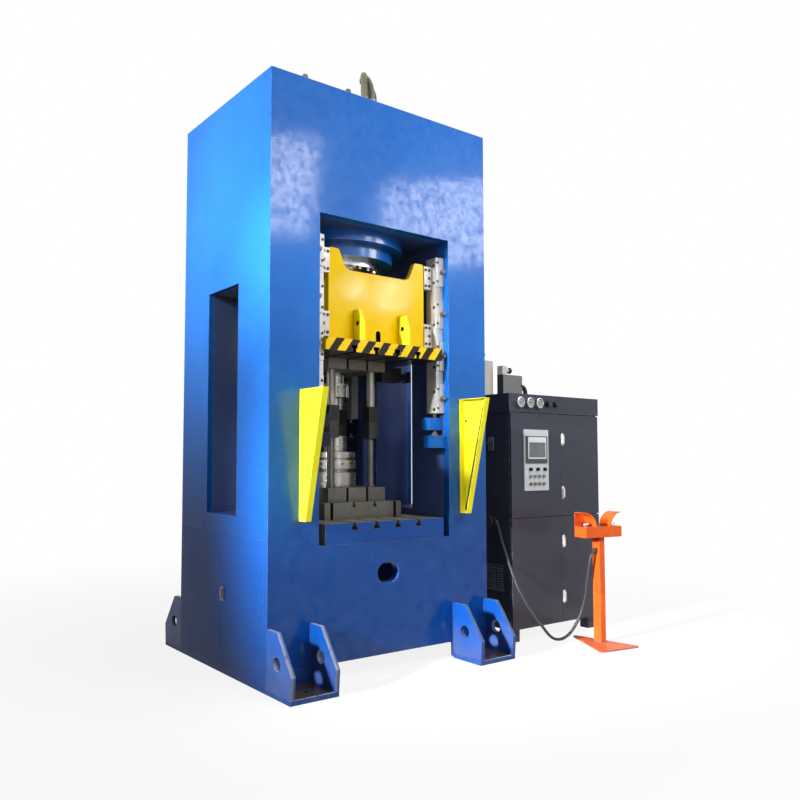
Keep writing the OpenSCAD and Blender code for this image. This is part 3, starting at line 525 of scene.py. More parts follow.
def stripes(tree, tone):
    """Black hazard stripes on the slide plate's front edge, and its dark underside and slot."""
    place, turn = place_of(tree), facing(tree)
    lean = calc(tree, "SUBTRACT", calc(tree, "ADD", place["X"], 0.052), times(tree, place["Z"], 0.73))
    run = calc(tree, "FRACT", calc(tree, "DIVIDE", lean, sizes().stripe_pitch))
    rough_edge = ramp(tree, noise(tree, 60.0, 4.0), 0.3, 0.7, -0.04, 0.04)
    band = ramp(tree, calc(tree, "ADD", run, rough_edge), 0.51, 0.5)
    front = ramp(tree, turn["Y"], -0.9, -0.95)
    edge = ramp(tree, place["Y"], -0.6185, -0.619)
    tone = mix(tree, times(tree, band, front, edge), tone, colours().stripe_black)
    under = ramp(tree, turn["Z"], -0.9, -0.95)
    slot = times(tree, ramp(tree, span(tree, place["X"]), 0.36, 0.35),
                 ramp(tree, place["Y"], -0.6195, -0.619), ramp(tree, place["Z"], 2.201, 2.2))
    return mix(tree, calc(tree, "MAXIMUM", under, slot), tone, srgb(44, 37, 30))


def bare_gusset_edges_over_shade(tree, tone):
    """Flame-cut edges of the gussets left without paint, over painted shade that deepens the paint towards
    the floor.
    """
    side = span(tree, facing(tree)["X"])
    # Painted shade: deeper paint towards the floor.
    tone = painted_shade_below(tree, tone)
    across = calc(tree, "FLOORED_MODULO",
                  calc(tree, "SUBTRACT", place_of(tree)["X"], FIRST_GUSSET), GUSSET_PITCH)
    cut = times(tree, ramp(tree, side, 0.6, 0.4), ramp(tree, noise(tree, 24.0, 5.0), 0.3, 0.42),
                ramp(tree, across, 0.017, 0.019, 1.0, 0.1))
    return mix(tree, cut, tone, colours().cut_edge)


def painted_shade_below(tree, tone):
    """Painted shade that deepens the paint towards the floor."""
    # Painted shade: the paint turns to the deeper blue from 2.3 m down to 0.7 m.
    shade_share = ramp(tree, place_of(tree)["Z"], 2.3, 0.7)
    return mix(tree, shade_share, tone, colours().shade_low_blue)


def shaded_and_trodden_feet(tree, tone):
    """Painted shade deepening the paint low down, and dirt on the foot plates."""
    # Painted shade: deeper paint towards the floor.
    tone = painted_shade_below(tree, tone)
    place, turn = place_of(tree), facing(tree)
    low = ramp(tree, place["Z"], 0.032, 0.0305)
    top = ramp(tree, turn["Z"], 0.8, 0.9)
    outside = ramp(tree, span(tree, place["Y"]), 0.632, 0.634)
    patches = ramp(tree, noise(tree, 16.0, 6.0, 0.7), 0.25, 0.5)
    tone = mix(tree, times(tree, low, top, outside, patches), tone, colours().shop_dirt)
    tip = ramp(tree, span(tree, place["Y"]), 0.886, 0.890)
    rubbed = times(tree, low, top, tip, ramp(tree, noise(tree, 40.0, 4.0), 0.36, 0.44))
    return mix(tree, rubbed, tone, srgb(196, 192, 188))


def mottled_front(tree):
    """Patchy clear gloss on the frame's front face."""
    turn = ramp(tree, facing(tree)["Y"], -0.9, -0.95)
    patches = ramp(tree, noise(tree, 14.0, 14.0, 0.78), 0.38, 0.62, 0.1, 0.64)
    return times(tree, turn, patches)


def painted_light_and_shade_stops(tree, tone):
    """Painted shade on the guide stops, with painted light in frame blue on the front right stops and on the
    walls' upper edges.
    """
    place = place_of(tree)
    side, deep = span(tree, place["X"]), span(tree, place["Y"])
    shaded_stops = times(tree, ramp(tree, side, 0.5695, 0.5685), ramp(tree, side, 0.43, 0.435),
                  ramp(tree, place["Z"], 1.45, 1.455), ramp(tree, place["Z"], 1.73, 1.725))
    edge = times(tree, ramp(tree, deep, 0.50, 0.57), ramp(tree, place["Z"], 2.7, 2.9))
    right = times(tree, ramp(tree, place["X"], 0.0, 0.1), ramp(tree, place["Y"], 0.0, -0.1))
    # Painted shade: the guide stops are darkened.
    tone = mix(tree, shaded_stops, tone, srgb(24, 30, 48))
    # Painted light: frame blue on the front right stops and on the walls' upper front edges.
    mask = calc(tree, "MAXIMUM", times(tree, shaded_stops, right), edge)
    return mix(tree, mask, tone, colours().frame_blue)


def shaded_keyhole(tree, tone):
    """Painted shade on the inner walls of the ram's keyhole."""
    place = place_of(tree)
    side = ramp(tree, span(tree, place["X"]), 0.0216, 0.0212)
    shaded_walls = ramp(tree, span(tree, facing(tree)["Y"]), 0.6, 0.5)
    # Painted shade in the keyhole's recess.
    return mix(tree, times(tree, side, shaded_walls), tone, srgb(40, 33, 24))


def shaded_bores_and_worn_rims(tree, tone):
    """Painted shade inside the sling holes of the ram's lugs, with a dark worn rim round each."""
    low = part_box("ram_lugs")[0]
    place = place_of(tree)
    across = calc(tree, "POWER", calc(tree, "SUBTRACT", place["Y"], low.y + 0.046), 2.0)
    upright = calc(tree, "POWER", calc(tree, "SUBTRACT", place["Z"], low.z + 0.122), 2.0)
    away = calc(tree, "SQRT", calc(tree, "ADD", across, upright))
    # Painted shade in each bore and a dark worn rim just round it.
    return mix(tree, ramp(tree, away, 0.0175, 0.0155), tone, srgb(48, 40, 26))


def black_blocks(tree, tone):
    """Blackened blocks at the lower ends of the guide sleeves."""
    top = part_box("guide_sleeves")[0].z + 0.1175
    return mix(tree, ramp(tree, place_of(tree)["Z"], top + 0.001, top), tone, srgb(26, 26, 28))


def blue_front(tree, tone):
    """Blue paint left on the bolster's front and rear faces, deepened to the blue of the painted shade low on
    the frame.
    """
    turn = span(tree, facing(tree)["Y"])
    face = times(tree, ramp(tree, turn, 0.9, 0.95), ramp(tree, noise(tree, 10.0, 6.0, 0.7), 0.2, 0.34),
                 ramp(tree, span(tree, place_of(tree)["Y"]), 0.62, 0.624))
    # Painted shade: the bolster's blue is as deep as the shade painted low on the frame.
    return mix(tree, face, tone, srgb(14, 68, 140))


def white_switch_and_lit_front(tree, tone):
    """Pale switch box on the terminal box, and painted light that makes the terminal box's front paler."""
    place, turn = place_of(tree), facing(tree)
    high = ramp(tree, place["Z"], 2.1495, 2.1505)
    # Painted light: front faces are paled as if lit, the sides left darker.
    front = times(tree, ramp(tree, turn["Y"], -0.9, -0.95), 0.6)
    lit_front_tone = mix(tree, front, tone, srgb(150, 152, 154))
    return mix(tree, high, lit_front_tone, srgb(206, 206, 202))


def seen_rays(tree):
    """One for the camera's rays and for those off mirrors and through glass."""
    path = add(tree, "LightPath").outputs
    return calc(tree, "MAXIMUM", path["Is Camera Ray"],
                calc(tree, "MAXIMUM", path["Is Glossy Ray"], path["Is Transmission Ray"]))


class PressPiece(bpy.types.Operator):
    """Shared start of every operator of the press."""

    bl_options = {"REGISTER", "UNDO"}


# Name, place, aim, width, height, power, its share, spread in degrees, and whether surfaces mirror it
LAMPS = (
    ("front_light", (0.6, -4.2, 5.0), (0.5, -0.6, 2.0), 2.0, 2.0, "front_power", 1.0, 180, False),
    ("fill_light", (-1.6, -6.8, 2.2), (0.6, -0.6, 1.1), 2.4, 2.4, "fill_power", 1.0, 180, True),
    ("side_light_high", (-7.1, -0.5, 4.6), (-0.9, 0.0, 3.2), 0.8, 0.8, "side_power", 1.0, 36, True),
    ("side_light_low", (-7.1, -1.3, 3.0), (0.3, -1.1, 0.6), 0.6, 0.6, "side_power", 0.8, 20, True),
    ("side_light_lugs", (-7.1, -1.3, 4.6), (0.0, -0.74, 2.36), 0.4, 0.4, "side_power", 0.17, 14, True),
    ("box_left", (1.64, -4.7, 4.85), (0, -0.6, 3.0), 0.8, 1.2, "box_power", 1.1, 180, True),
    ("box_right", (4.3, -4.7, 4.85), (0.5, -0.6, 2.8), 1.7, 1.2, "box_power", 2.0, 180, True),
    ("ram_box_left", (2.9, -4.7, 3.76), (-0.2, -0.5, 2.6), 0.25, 0.25, "box_power", 0.18, 180, True),
    ("ram_box_right", (3.57, -4.7, 3.75), (0.1, -0.5, 2.6), 0.4, 0.4, "box_power", 0.36, 180, True),
)


class PRESS_OT_stage(PressPiece):
    """Camera, pale floor, even surroundings and soft lights"""

    bl_idname = "press.stage"
    bl_label = "Stage"

    def execute(self, context):
        stage = context.scene.press_stage
        context.scene.view_settings.view_transform = "Standard"
        lens = bpy.data.cameras.new("camera")
        lens.lens = stage.lens
        lens.sensor_width = SENSOR_WIDTH
        lens.shift_x, lens.shift_y = CAMERA_SHIFT
        lens.clip_end = 200
        yaw, level = CAMERA_YAW, math.cos(CAMERA_PITCH)
        ahead = Vector((math.sin(yaw) * level, math.cos(yaw) * level, math.sin(CAMERA_PITCH)))
        right = Vector((math.cos(yaw), -math.sin(yaw), 0))
        up = right.cross(ahead)
        c, s = math.cos(CAMERA_ROLL), math.sin(CAMERA_ROLL)
        right, up = right * c + up * s, up * c - right * s
        camera = bpy.data.objects.new("camera", lens)
        turn = Matrix((right, up, -ahead)).transposed().to_4x4()
        camera.matrix_world = Matrix.Translation(CAMERA_PLACE) @ turn
        context.scene.collection.objects.link(camera)
        context.scene.camera = camera
        self.surroundings(context, stage)
        self.floor(context)
        for lamp in LAMPS:
            self.lamp(context, stage, *lamp)
        return {"FINISHED"}

    def surroundings(self, context, stage):
        world = bpy.data.worlds.new("surroundings")
        world.use_nodes = True
        tree = world.node_tree
        even = add(tree, "Background", {"Color": (1, 1, 1), "Strength": stage.ambient})
        white = add(tree, "Background", {"Color": (1, 1, 1), "Strength": 1.0})
        both = add(tree, "MixShader", {0: seen_rays(tree), 1: even.outputs[0], 2: white.outputs[0]})
        tree.links.new(both.outputs[0], tree.nodes["World Output"].inputs["Surface"])
        context.scene.world = world

    def floor(self, context):
        material, tree, shader = start("pale_floor")
        tone = mix(tree, ramp(tree, noise(tree, 0.7, 4.0), 0.3, 0.7), (0.86, 0.86, 0.86), (0.8, 0.8, 0.8))
        shader.inputs["Roughness"].default_value = 0.9
        bounced = add(tree, "LightPath").outputs["Is Diffuse Ray"]
        tree.links.new(mix(tree, bounced, tone, (0.3, 0.3, 0.3)), shader.inputs["Base Color"])
        white = add(tree, "Emission", {"Color": (1, 1, 1), "Strength": 1.0})
        far = add(tree, "VectorMath", {0: here(tree)}, operation="LENGTH").outputs["Value"]
        share = times(tree, seen_rays(tree), ramp(tree, far, 1.5, 6.0, 0.86, 1.0))
        both = add(tree, "MixShader", {0: share, 1: shader.outputs[0], 2: white.outputs[0]})
        tree.links.new(both.outputs[0], tree.nodes["Material Output"].inputs["Surface"])
        sheet = bmesh.new()
        bmesh.ops.create_circle(sheet, cap_ends=True, radius=FLOOR_RADIUS, segments=96)
        data = bpy.data.meshes.new("floor")
        sheet.to_mesh(data)
        sheet.free()
        data.materials.append(material)
        floor = bpy.data.objects.new("floor", data)
        floor.location.z = -0.001
        context.scene.collection.objects.link(floor)

    def lamp(self, context, stage, name, place, aim, wide, tall, power, share, spread, mirrored):
        light = bpy.data.lights.new(name, "AREA")
        light.shape = "RECTANGLE"
        light.size, light.size_y = wide, tall
        light.energy = getattr(stage, power) * share
        light.spread = math.radians(spread)
        lamp = bpy.data.objects.new(name, light)
        lamp.location = place
        lamp.visible_glossy = mirrored
        lamp.rotation_mode = "QUATERNION"
        lamp.rotation_quaternion = (Vector(aim) - Vector(place)).to_track_quat("-Z", "Y")
        context.scene.collection.objects.link(lamp)


CORD_ROUTE = [
    (1.228, -0.468, 0.930), (1.222, -0.500, 0.880), (1.210, -0.560, 0.740), (1.230, -0.690, 0.430),
    (1.360, -0.790, 0.170), (1.530, -0.780, 0.040), (1.690, -0.790, 0.060), (1.770, -0.850, 0.240),
    (1.780, -0.900, 0.500), (1.784, -0.930, 0.660), (1.828, -0.942, 0.722)]


class PRESS_OT_cord(PressPiece):
    """Cord from the cabinet's socket to the station, with its strain reliefs"""

    bl_idname = "press.cord"
    bl_label = "Station cord"

    def execute(self, context):
        route = [Vector(p) for p in CORD_ROUTE]
        last, knots = len(route) - 1, []
        for i in range(last):
            a, b, c, d = route[max(i - 1, 0)], route[i], route[i + 1], route[min(i + 2, last)]
            bend, twist = 2 * a - 5 * b + 4 * c - d, 3 * b - a - 3 * c + d
            for t in (0, 1 / 3, 2 / 3) + ((1,) if i == last - 1 else ()):
                place = 0.5 * (2 * b + (c - a) * t + bend * t * t + twist * t ** 3)
                way = 0.5 * ((c - a) + 2 * bend * t + 3 * twist * t * t)
                knots.append((place, way / 9))
        curve = bpy.data.curves.new("station_cord", "CURVE")
        curve.dimensions = "3D"
        curve.bevel_depth = CORD_RADIUS
        curve.bevel_resolution = 4
        curve.use_fill_caps = True
        curve.resolution_u = 6
        spline = curve.splines.new("BEZIER")
        spline.bezier_points.add(len(knots) - 1)
        for point, (place, way) in zip(spline.bezier_points, knots):
            point.handle_left_type = point.handle_right_type = "FREE"
            point.co, point.handle_left, point.handle_right = place, place - way, place + way
        jacket = moulded("cord_jacket", colours().cord_black, 0.5, 300.0)
        curve.materials.append(jacket)
        cord = bpy.data.objects.new("station_cord", curve)
        context.scene.collection.objects.link(cord)
        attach(cord, "frame")
        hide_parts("cord")
        for name, start_at, aim in (("cord_relief_cabinet", 0, 1), ("cord_relief_station", -1, -2)):
            foot = knots[start_at][0]
            way = (knots[aim][0] - foot).normalized()
            boot = Shape()
            boot.lathe(foot - way * 0.004, way, [
                (0, 0), (0.0175, 0), (0.0175, 0.008), (0.0165, 0.011), (0.0168, 0.016), (0.0155, 0.019),
                (0.0158, 0.024), (0.0145, 0.027), (0.0148, 0.032), (0.0135, 0.035), (0.0125, 0.042),
                (0.0112, 0.042)], 24)
            boot.piece(name, "frame", [jacket], "rubber")
        dress(moulded("socket_black", colours().screw_black, 0.4), "cord_socket")
        return {"FINISHED"}


class PRESS_OT_frame(PressPiece):
    """Blue frame, cylinders and base doors, with weld beads and toe plates on the feet"""

    bl_idname = "press.frame_paint"
    bl_label = "Frame"

    def execute(self, context):
        look = colours()
        bare = srgb(168, 176, 186)
        dress(painted("frame_gloss", look.frame_blue, bare, 0.24, peel=1.6, wear_and_highlight=0.7, reach=0.25, gloss=0.08,
                      local=shaded_and_trodden_feet, lacquer=mottled_front), "frame")
        dress(painted("inner_gloss", look.inner_navy, bare, 0.4, oil_and_shade=0.6, gloss=0.15, local=painted_light_and_shade_stops),
              "inner_frame")
        dress(painted("gusset_gloss", look.frame_blue, bare, 0.3, dust=0.5, reach=0.3,
                      local=bare_gusset_edges_over_shade), "gussets")
        dress(painted("cylinder_gloss", look.frame_blue, bare, 0.18, oil_and_shade=0.4, gloss=0.6), "main_cylinder",
              "ejector_cylinder")
        # Painted shade darkens the base doors towards the floor.
        dress(painted("door_gloss", look.frame_blue, bare, 0.3, wear_and_highlight=0.15, reach=0.25, gloss=0.08,
                      local=painted_shade_below), "base_door_lf", "base_door_lr")
        # The weld beads and toe plates take the blue of the painted shade near the floor.
        weld = painted("weld_blue", look.shade_low_blue, bare, 0.35, wear_and_highlight=0.0, dust=0.3)
        beads = Shape()
        for sx, sy in corners():
            for x in (0.915, 0.630, 0.600):
                self.bead(beads, (sx * x, sy * 0.895, 0.031), (sx * x, sy * 0.632, 0.031))
                self.bead(beads, (sx * x, sy * 0.631, 0.036), (sx * x, sy * 0.631, 0.386))
        beads.piece("foot_weld_beads", "frame", [weld], "blue_paint", angle=80)
        toes = Shape()
        for sx, sy in corners():
            toes.prism([(0.602, 0.014), (0.614, 0.002), (0.891, 0.002), (0.903, 0.014), (0.903, 0.1145),
                        (0.602, 0.1145)], (0, sy * 0.628, 0), (sx, 0, 0), UP, (0, -sy * 0.025, 0))
        toes.piece("toe_plates", "frame", [weld], "blue_paint", 0.002)
        return {"FINISHED"}

    def bead(self, shape, first, second):
        first, second = Vector(first), Vector(second)
        count = int((second - first).length / BEAD_STEP)
        ripples = [0.82 + 0.18 * abs(math.sin(i * 1.05 + 0.3 * math.sin(i * 0.37))) for i in range(count + 1)]
        shape.sweep([first.lerp(second, i / count) for i in range(count + 1)],
                    [sizes().weld_leg * ripple for ripple in ripples], 7)


class PRESS_OT_ram(PressPiece):
    """Yellow ram, lugs and slide plate with its hazard stripes, rod and gland"""

    bl_idname = "press.ram_paint"
    bl_label = "Ram"

    def execute(self, context):
        look = colours()
        primer = srgb(150, 120, 60)
        dress(painted("ram_gloss", look.ram_yellow, primer, 0.11, peel=0.4, oil_and_shade=0.3, gloss=0.14,
                      local=shaded_keyhole), "ram")
        # The lugs take the paler guard yellow: a lit copy of the ram's yellow that paints the light on them.
        dress(painted("lug_gloss_lit", look.guard_yellow, primer, 0.24, oil_and_shade=0.25, local=shaded_bores_and_worn_rims), "ram_lugs")
        dress(painted("slide_gloss", look.ram_yellow, srgb(120, 112, 100), 0.34, wear_and_highlight=0.8, oil_and_shade=0.3,
                      gloss=0.15, local=stripes), "slide_plate")
        dress(machined("rod_chrome", look.chrome, (1, 1, 0.05), 0.12, oil_and_shade=0.2, depth=0.1), "piston_rod",
              "ejector_rod")
        dress(machined("gland_steel", look.chrome, EVEN_GRAIN, 0.2, oil_and_shade=0.5), "gland_ring")
        return {"FINISHED"}


class PRESS_OT_guides(PressPiece):
    """Ground guide steel with the screws of shoes, rails and pads"""

    bl_idname = "press.guides"
    bl_label = "Guides"

    def execute(self, context):
        look = colours()
        for name, grain, ground in (("guide_ground", (1, 1, 0.04), ("guide_rails", "guide_pads")),
                                    ("shoe_ground", (0.05, 1, 1), ("ram_shoes",))):
            dress(machined(name, look.guide_steel, grain, 0.42, metallic=0.3, oil_and_shade=0.8, reach=0.012), *ground)
        dress(machined("bolt_dark", srgb(132, 130, 126), EVEN_GRAIN, 0.4, metallic=0.5, oil_and_shade=0.9, reach=0.03),
              "guide_bolts")
        dress(machined("latch_steel", srgb(150, 148, 144), EVEN_GRAIN, 0.4, oil_and_shade=0.5, reach=0.02),
              "latch_left")
        black = moulded("screw_black", look.screw_black, 0.35)
        hole = moulded("screw_hole", srgb(10, 10, 10), 0.7)
        low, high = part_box("ram_shoes")
        shoes, rails = Shape(), Shape()
        for sx, sy in corners():
            for z in (low.z, high.z - 0.168):
                for x, dz in ((0.439, 0.025), (0.472, 0.025), (0.472, 0.084),
                              (0.439, 0.143), (0.472, 0.143)):
                    shoes.screw((sx * x, sy * 0.530, z + dz), (0, sy, 0), sizes().shoe_screw, 0.006)
            for k in range(4):
                for z in (2.849 - RAIL_SCREW_PITCH * k, 2.720 - RAIL_SCREW_PITCH * k):
                    rails.screw((sx * 0.500, sy * 0.550, z), (-sx, 0, 0), 0.024, 0.0012)
                for dz in (-0.07, 0.07):
                    rails.screw((sx * 0.513, sy * 0.576, 1.8625 + PAD_PITCH * k + dz), (0, sy, 0),
                                sizes().pad_screw, 0.004)
        shoes.piece("shoe_screws", "ram", [black, hole], "black_steel")
        rails.piece("rail_screws", "frame", [black, hole], "black_steel")
        return {"FINISHED"}


class PRESS_OT_tooling(PressPiece):
    """Bolster, die plates, rings, pillars, punch and the shrouds below the sleeves"""

    bl_idname = "press.tooling"
    bl_label = "Tooling"

    def execute(self, context):
        look = colours()
        dress(machined("table_milled", look.table_steel, (1, 0.06, 1), 0.5, metallic=0.6, oil_and_shade=0.6,
                       local=blue_front), "bolster")
        dress(machined("die_oiled", look.tool_steel, (1, 0.1, 1), 0.45, metallic=0.5, oil_and_shade=0.7),
              "die_shoe", "die_bars")
        dress(machined("bar_oiled", srgb(142, 136, 126), (1, 0.1, 1), 0.45, metallic=0.4, oil_and_shade=0.7, wear_and_highlight=0.8),
              "upper_bars")
        dress(machined("ring_turned", look.ring_steel, (0.08, 0.08, 1), 0.24, metallic=0.85, oil_and_shade=1.0,
                       reach=0.03), "die_rings", "punch")
        dress(machined("pillar_oiled", srgb(112, 111, 108), (0.6, 0.6, 0.03), 0.3, metallic=0.7, oil_and_shade=0.8),
              "guide_pillars")
        dress(machined("sleeve_steel", srgb(158, 154, 148), (0.6, 0.6, 0.03), 0.34, metallic=0.6, oil_and_shade=0.5,
                       local=black_blocks), "guide_sleeves")
        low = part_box("guide_sleeves")[0].z
        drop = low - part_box("guide_pillars")[1].z - 0.006
        shrouds = Shape()
        for sx, sy in corners():
            outer, inner = rounded(0.088, 0.088, 0.006, 3), rounded(0.066, 0.066, 0.004, 3)
            foot = Vector((sx * 0.18, sy * 0.20, low - drop))
            rings = [[foot + Vector((x, y, z)) for x, y in ring] for ring, z in
                     ((outer, drop), (outer, 0), (inner, 0), (inner, drop))]
            count = len(outer)
            shrouds.faces(sum(rings, []), [
                (a + i, b + i, b + (i + 1) % count, a + (i + 1) % count)
                for a, b in ((0, count), (count, 2 * count), (2 * count, 3 * count), (3 * count, 0))
                for i in range(count)])
        black = moulded("shroud_black", srgb(15, 15, 16), 0.5)
        shrouds.piece("sleeve_shrouds", "ram", [black], "black_plastic")
        dress(painted("side_unit_black", srgb(44, 44, 46), srgb(120, 120, 120), 0.4), "side_cylinder")
        return {"FINISHED"}


class PRESS_OT_guards(PressPiece):
    """Yellow guards with a seal and a screw each, and the rear guard"""

    bl_idname = "press.guards"
    bl_label = "Guards"

    def execute(self, context):
        look = colours()
        dress(painted("guard_gloss", look.guard_yellow, srgb(140, 120, 70), 0.3, peel=0.3, dust=0.2,
                      reach=1.3), "guard_left", "guard_right")
        dress(painted("rear_guard_satin", srgb(46, 46, 50), srgb(110, 110, 112), 0.5), "rear_guard")
        black = moulded("seal_black", srgb(18, 18, 18), 0.6)
        seal = Shape()
        top, foot = Vector((0, -0.833, 1.80)), Vector((0, -0.650, 1.05))
        lean = (foot - top).normalized()
        for sx in (-1, 1):
            seal.prism(rounded(0.008, 0.011, 0.003, 3), top + Vector((sx * SEAL_LINE, 0, 0)), RIGHT,
                       Vector((0, -lean.z, lean.y)), foot - top)
            seal.screw((sx * 0.716, -0.655, 1.70), (-sx, 0, 0), 0.018, 0.006)
        seal.piece("guard_seals", "frame", [black, black], "black_plastic")
        return {"FINISHED"}


class PRESS_OT_crown(PressPiece):
    """Braided hoses with ferrules and the covers on the crown"""

    bl_idname = "press.crown"
    bl_label = "Crown"

    def execute(self, context):
        look = colours()
        braid, tree, shader = start("hose_braid")
        weave = use(tree, "hose_braid", Color=look.hose_grey, Gap=srgb(40, 40, 32), Scale=60.0)
        oiled_and_shaded = use(tree, "corner_oil_and_shade", Color=weave["Color"], Reach=0.05, Amount=0.5)
        rough = ramp(tree, noise(tree, 20.0), 0.3, 0.7, 0.35, 0.55)
        shader.inputs["Metallic"].default_value = 0.4
        fill_shader(tree, shader, oiled_and_shaded["Color"], rough, weave["Height"], 0.0012, 0.6)
        dress(braid, "hoses")
        dress(machined("fitting_dark", srgb(96, 98, 100), EVEN_GRAIN, 0.4, oil_and_shade=0.5), "hose_fittings")
        steel = machined("ferrule_steel", srgb(140, 138, 134), EVEN_GRAIN, 0.3, oil_and_shade=0.6)
        hoses, caps = Shape(), Shape()
        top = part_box("frame")[1].z
        along = Vector((math.cos(math.radians(54)), math.sin(math.radians(54)), 0))
        across = Vector((along.y, -along.x, 0))
        for i, (lean_front, lean_rear) in enumerate(((0.0, 0.02), (-0.06, 0.03))):
            foot = Vector((-0.110 + 0.066 * i, -0.5, top + 0.036))
            path = [foot + Vector((0, 0, z)) for z in (0, 0.02, 0.04)]
            for k in range(HOSE_STEPS + 1):
                a = math.pi * k / HOSE_STEPS
                if k < HOSE_STEPS / 2:
                    sway = lean_front * math.sin(a) ** 2
                elif k < HOSE_STEPS * 3 / 4:
                    sway = lean_front + (lean_rear - lean_front) * math.sin(2 * a - math.pi)
                else:
                    sway = lean_rear * math.sin(a) ** 0.7 * 1.28
                path.append(foot + along * (HOSE_SPAN / 2 * (1 - math.cos(a))) + across * sway
                            + Vector((0, 0, 0.06 + HOSE_RISE * math.sin(a))))
            path += [foot + along * HOSE_SPAN + Vector((0, 0, z)) for z in (0.04, 0.02, 0)]
            hoses.sweep(path, [HOSE_RADIUS] * len(path), 20)
            for end in (foot, foot + along * HOSE_SPAN):
                caps.lathe(end, UP, [
                    (0.027, 0), (FERRULE, 0.002), (FERRULE, 0.010), (GROOVE, 0.013), (FERRULE, 0.016),
                    (FERRULE, 0.024), (GROOVE, 0.027), (FERRULE, 0.030), (FERRULE, 0.040), (0.0285, 0.044),
                    (0.0258, 0.044)], 32)
        hoses = hoses.piece("arched_hoses", "frame", [braid], "rubber", angle=60)
        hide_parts("hoses")
        for x in (-0.590, -0.230):
            caps.lathe((x, -0.470, top), UP, [
                (0.052, 0), (0.052, 0.012), (0.046, 0.016), (0.046, 0.05), (0.043, 0.062), (0.034, 0.076),
                (0.022, 0.084), (0.022, 0.100), (0.018, 0.110), (0.010, 0.115), (0.0, 0.116)], 32)
        caps.piece("crown_ferrules", "frame", [steel], "black_steel", angle=40)
        return {"FINISHED"}


class PRESS_OT_cabinet(PressPiece):
    """Cabinet with its doors, handles, vent, bracket and gear on top"""

    bl_idname = "press.cabinet"
    bl_label = "Cabinet"

    def execute(self, context):
        look = colours()
        bare = srgb(150, 150, 154)
        # Full edge wear on the cabinet gives pale lines along its edges and door seams that are painted
        # highlights.
        dress(painted("cabinet_satin", look.cabinet_grey, bare, 0.34, peel=0.9, wear_and_highlight=1.0, reach=0.3,
                      gloss=0.22), "cabinet", "cab_door_ul", "cab_door_ur", "cab_door_ll", "cab_door_lr")
        dress(painted("unit_paint", srgb(80, 90, 96), bare, 0.45, oil_and_shade=0.5), "power_unit")
        dress(painted("filter_paint", look.filter_beige, srgb(120, 116, 104), 0.45, oil_and_shade=0.3), "oil_filter")
        dress(painted("terminal_paint", srgb(60, 60, 64), bare, 0.45, local=white_switch_and_lit_front), "terminal_box")
        plate = machined("handle_chrome", srgb(238, 239, 241), (1, 1, 0.2), 0.3, metallic=0.2, oil_and_shade=0.0,
                         depth=0.1)
        for name, body, heights in (("handles_upper", "cabinet_door_ur", (1.152, 1.587)),
                                    ("handles_lower", "cabinet_door_lr", (0.308, 0.754))):
            pulls = Shape()
            for z in heights:
                pulls.prism(rounded(0.030, 0.104, 0.0149, 8), (HANDLE_LINE, -0.610, z), RIGHT, UP,
                            (0, -0.006, 0))
                pulls.prism(rounded(0.020, 0.076, 0.0099, 8), (HANDLE_LINE, -0.615, z - 0.003), RIGHT, UP,
                            (0, -0.013, 0))
            pulls = pulls.piece("lozenge_" + name, body, [plate], "chrome", 0.003)
            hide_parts(name)
        black = moulded("vent_black", srgb(38, 38, 40), 0.5)
        grey = moulded("vent_grey", srgb(112, 114, 120), 0.45)
        vent = Shape()
        count = sizes().louvre_rows
        for column in range(3):
            for row in range(count):
                y, z = -0.515 + 0.075 * column, 0.41 + 0.02 * row
                vent.prism([(0, 0), (0.006, -0.003), (0.007, -0.008), (0, -0.012)],
                           (CABINET_SIDE, y, z), LEFT, UP, (0, 0.062, 0))
        for z in (0.388, 0.582):
            vent.block((1.2465, -0.528, z), (CABINET_SIDE, -0.294, z + 0.010))
        vent.piece("vent_louvres", "frame", [grey], "dark_paint")
        fittings = Shape()
        fittings.prism(rounded(0.06, 0.11, 0.01, 3), (CABINET_SIDE, -0.400, 1.545), BACK, UP,
                       (-0.006, 0, 0), 1)
        fittings.prism([(0, 0), (0.03, 0), (0.03, 0.006), (0.006, 0.03), (0, 0.03)], (1.244, -0.425, 1.535),
                       LEFT, UP, (0, 0.05, 0))
        fittings.lathe((1.220, -0.4, 0.93), LEFT, [
            (0.046, 0), (0.050, 0.002), (0.050, 0.008), (0.042, 0.010), (0.040, 0.016), (0.0, 0.018)], 32)
        fittings.sweep([(1.226, -0.452, 0.975), (1.222, -0.456, 0.955), (1.222, -0.456, 0.905),
                        (1.226, -0.452, 0.885)], [0.005] * 4, 8)
        fittings.piece("side_fittings", "frame", [black, grey], "black_plastic", 0.001)
        tops = Shape()
        tops.lathe((1.729, -0.145, 2.190), RIGHT, [
            (0, 0), (0.012, 0), (0.012, 0.004), (0.02, 0.008), (0.027, 0.018), (0.027, 0.028), (0.02, 0.040),
            (0.01, 0.046), (0, 0.048)], 24)
        bend = [(1.878 + 0.058 * math.sin(a), -0.165, 2.06 + 0.058 * (math.cos(a) - 1))
                for a in [math.radians(9 * k) for k in range(11)]]
        tops.sweep([(1.862, -0.165, 2.06)] + bend + [(1.936, -0.165, 1.945)], [0.019] * (len(bend) + 2), 14)
        tops.piece("terminal_fittings", "frame", [black], "black_plastic", angle=50)
        return {"FINISHED"}


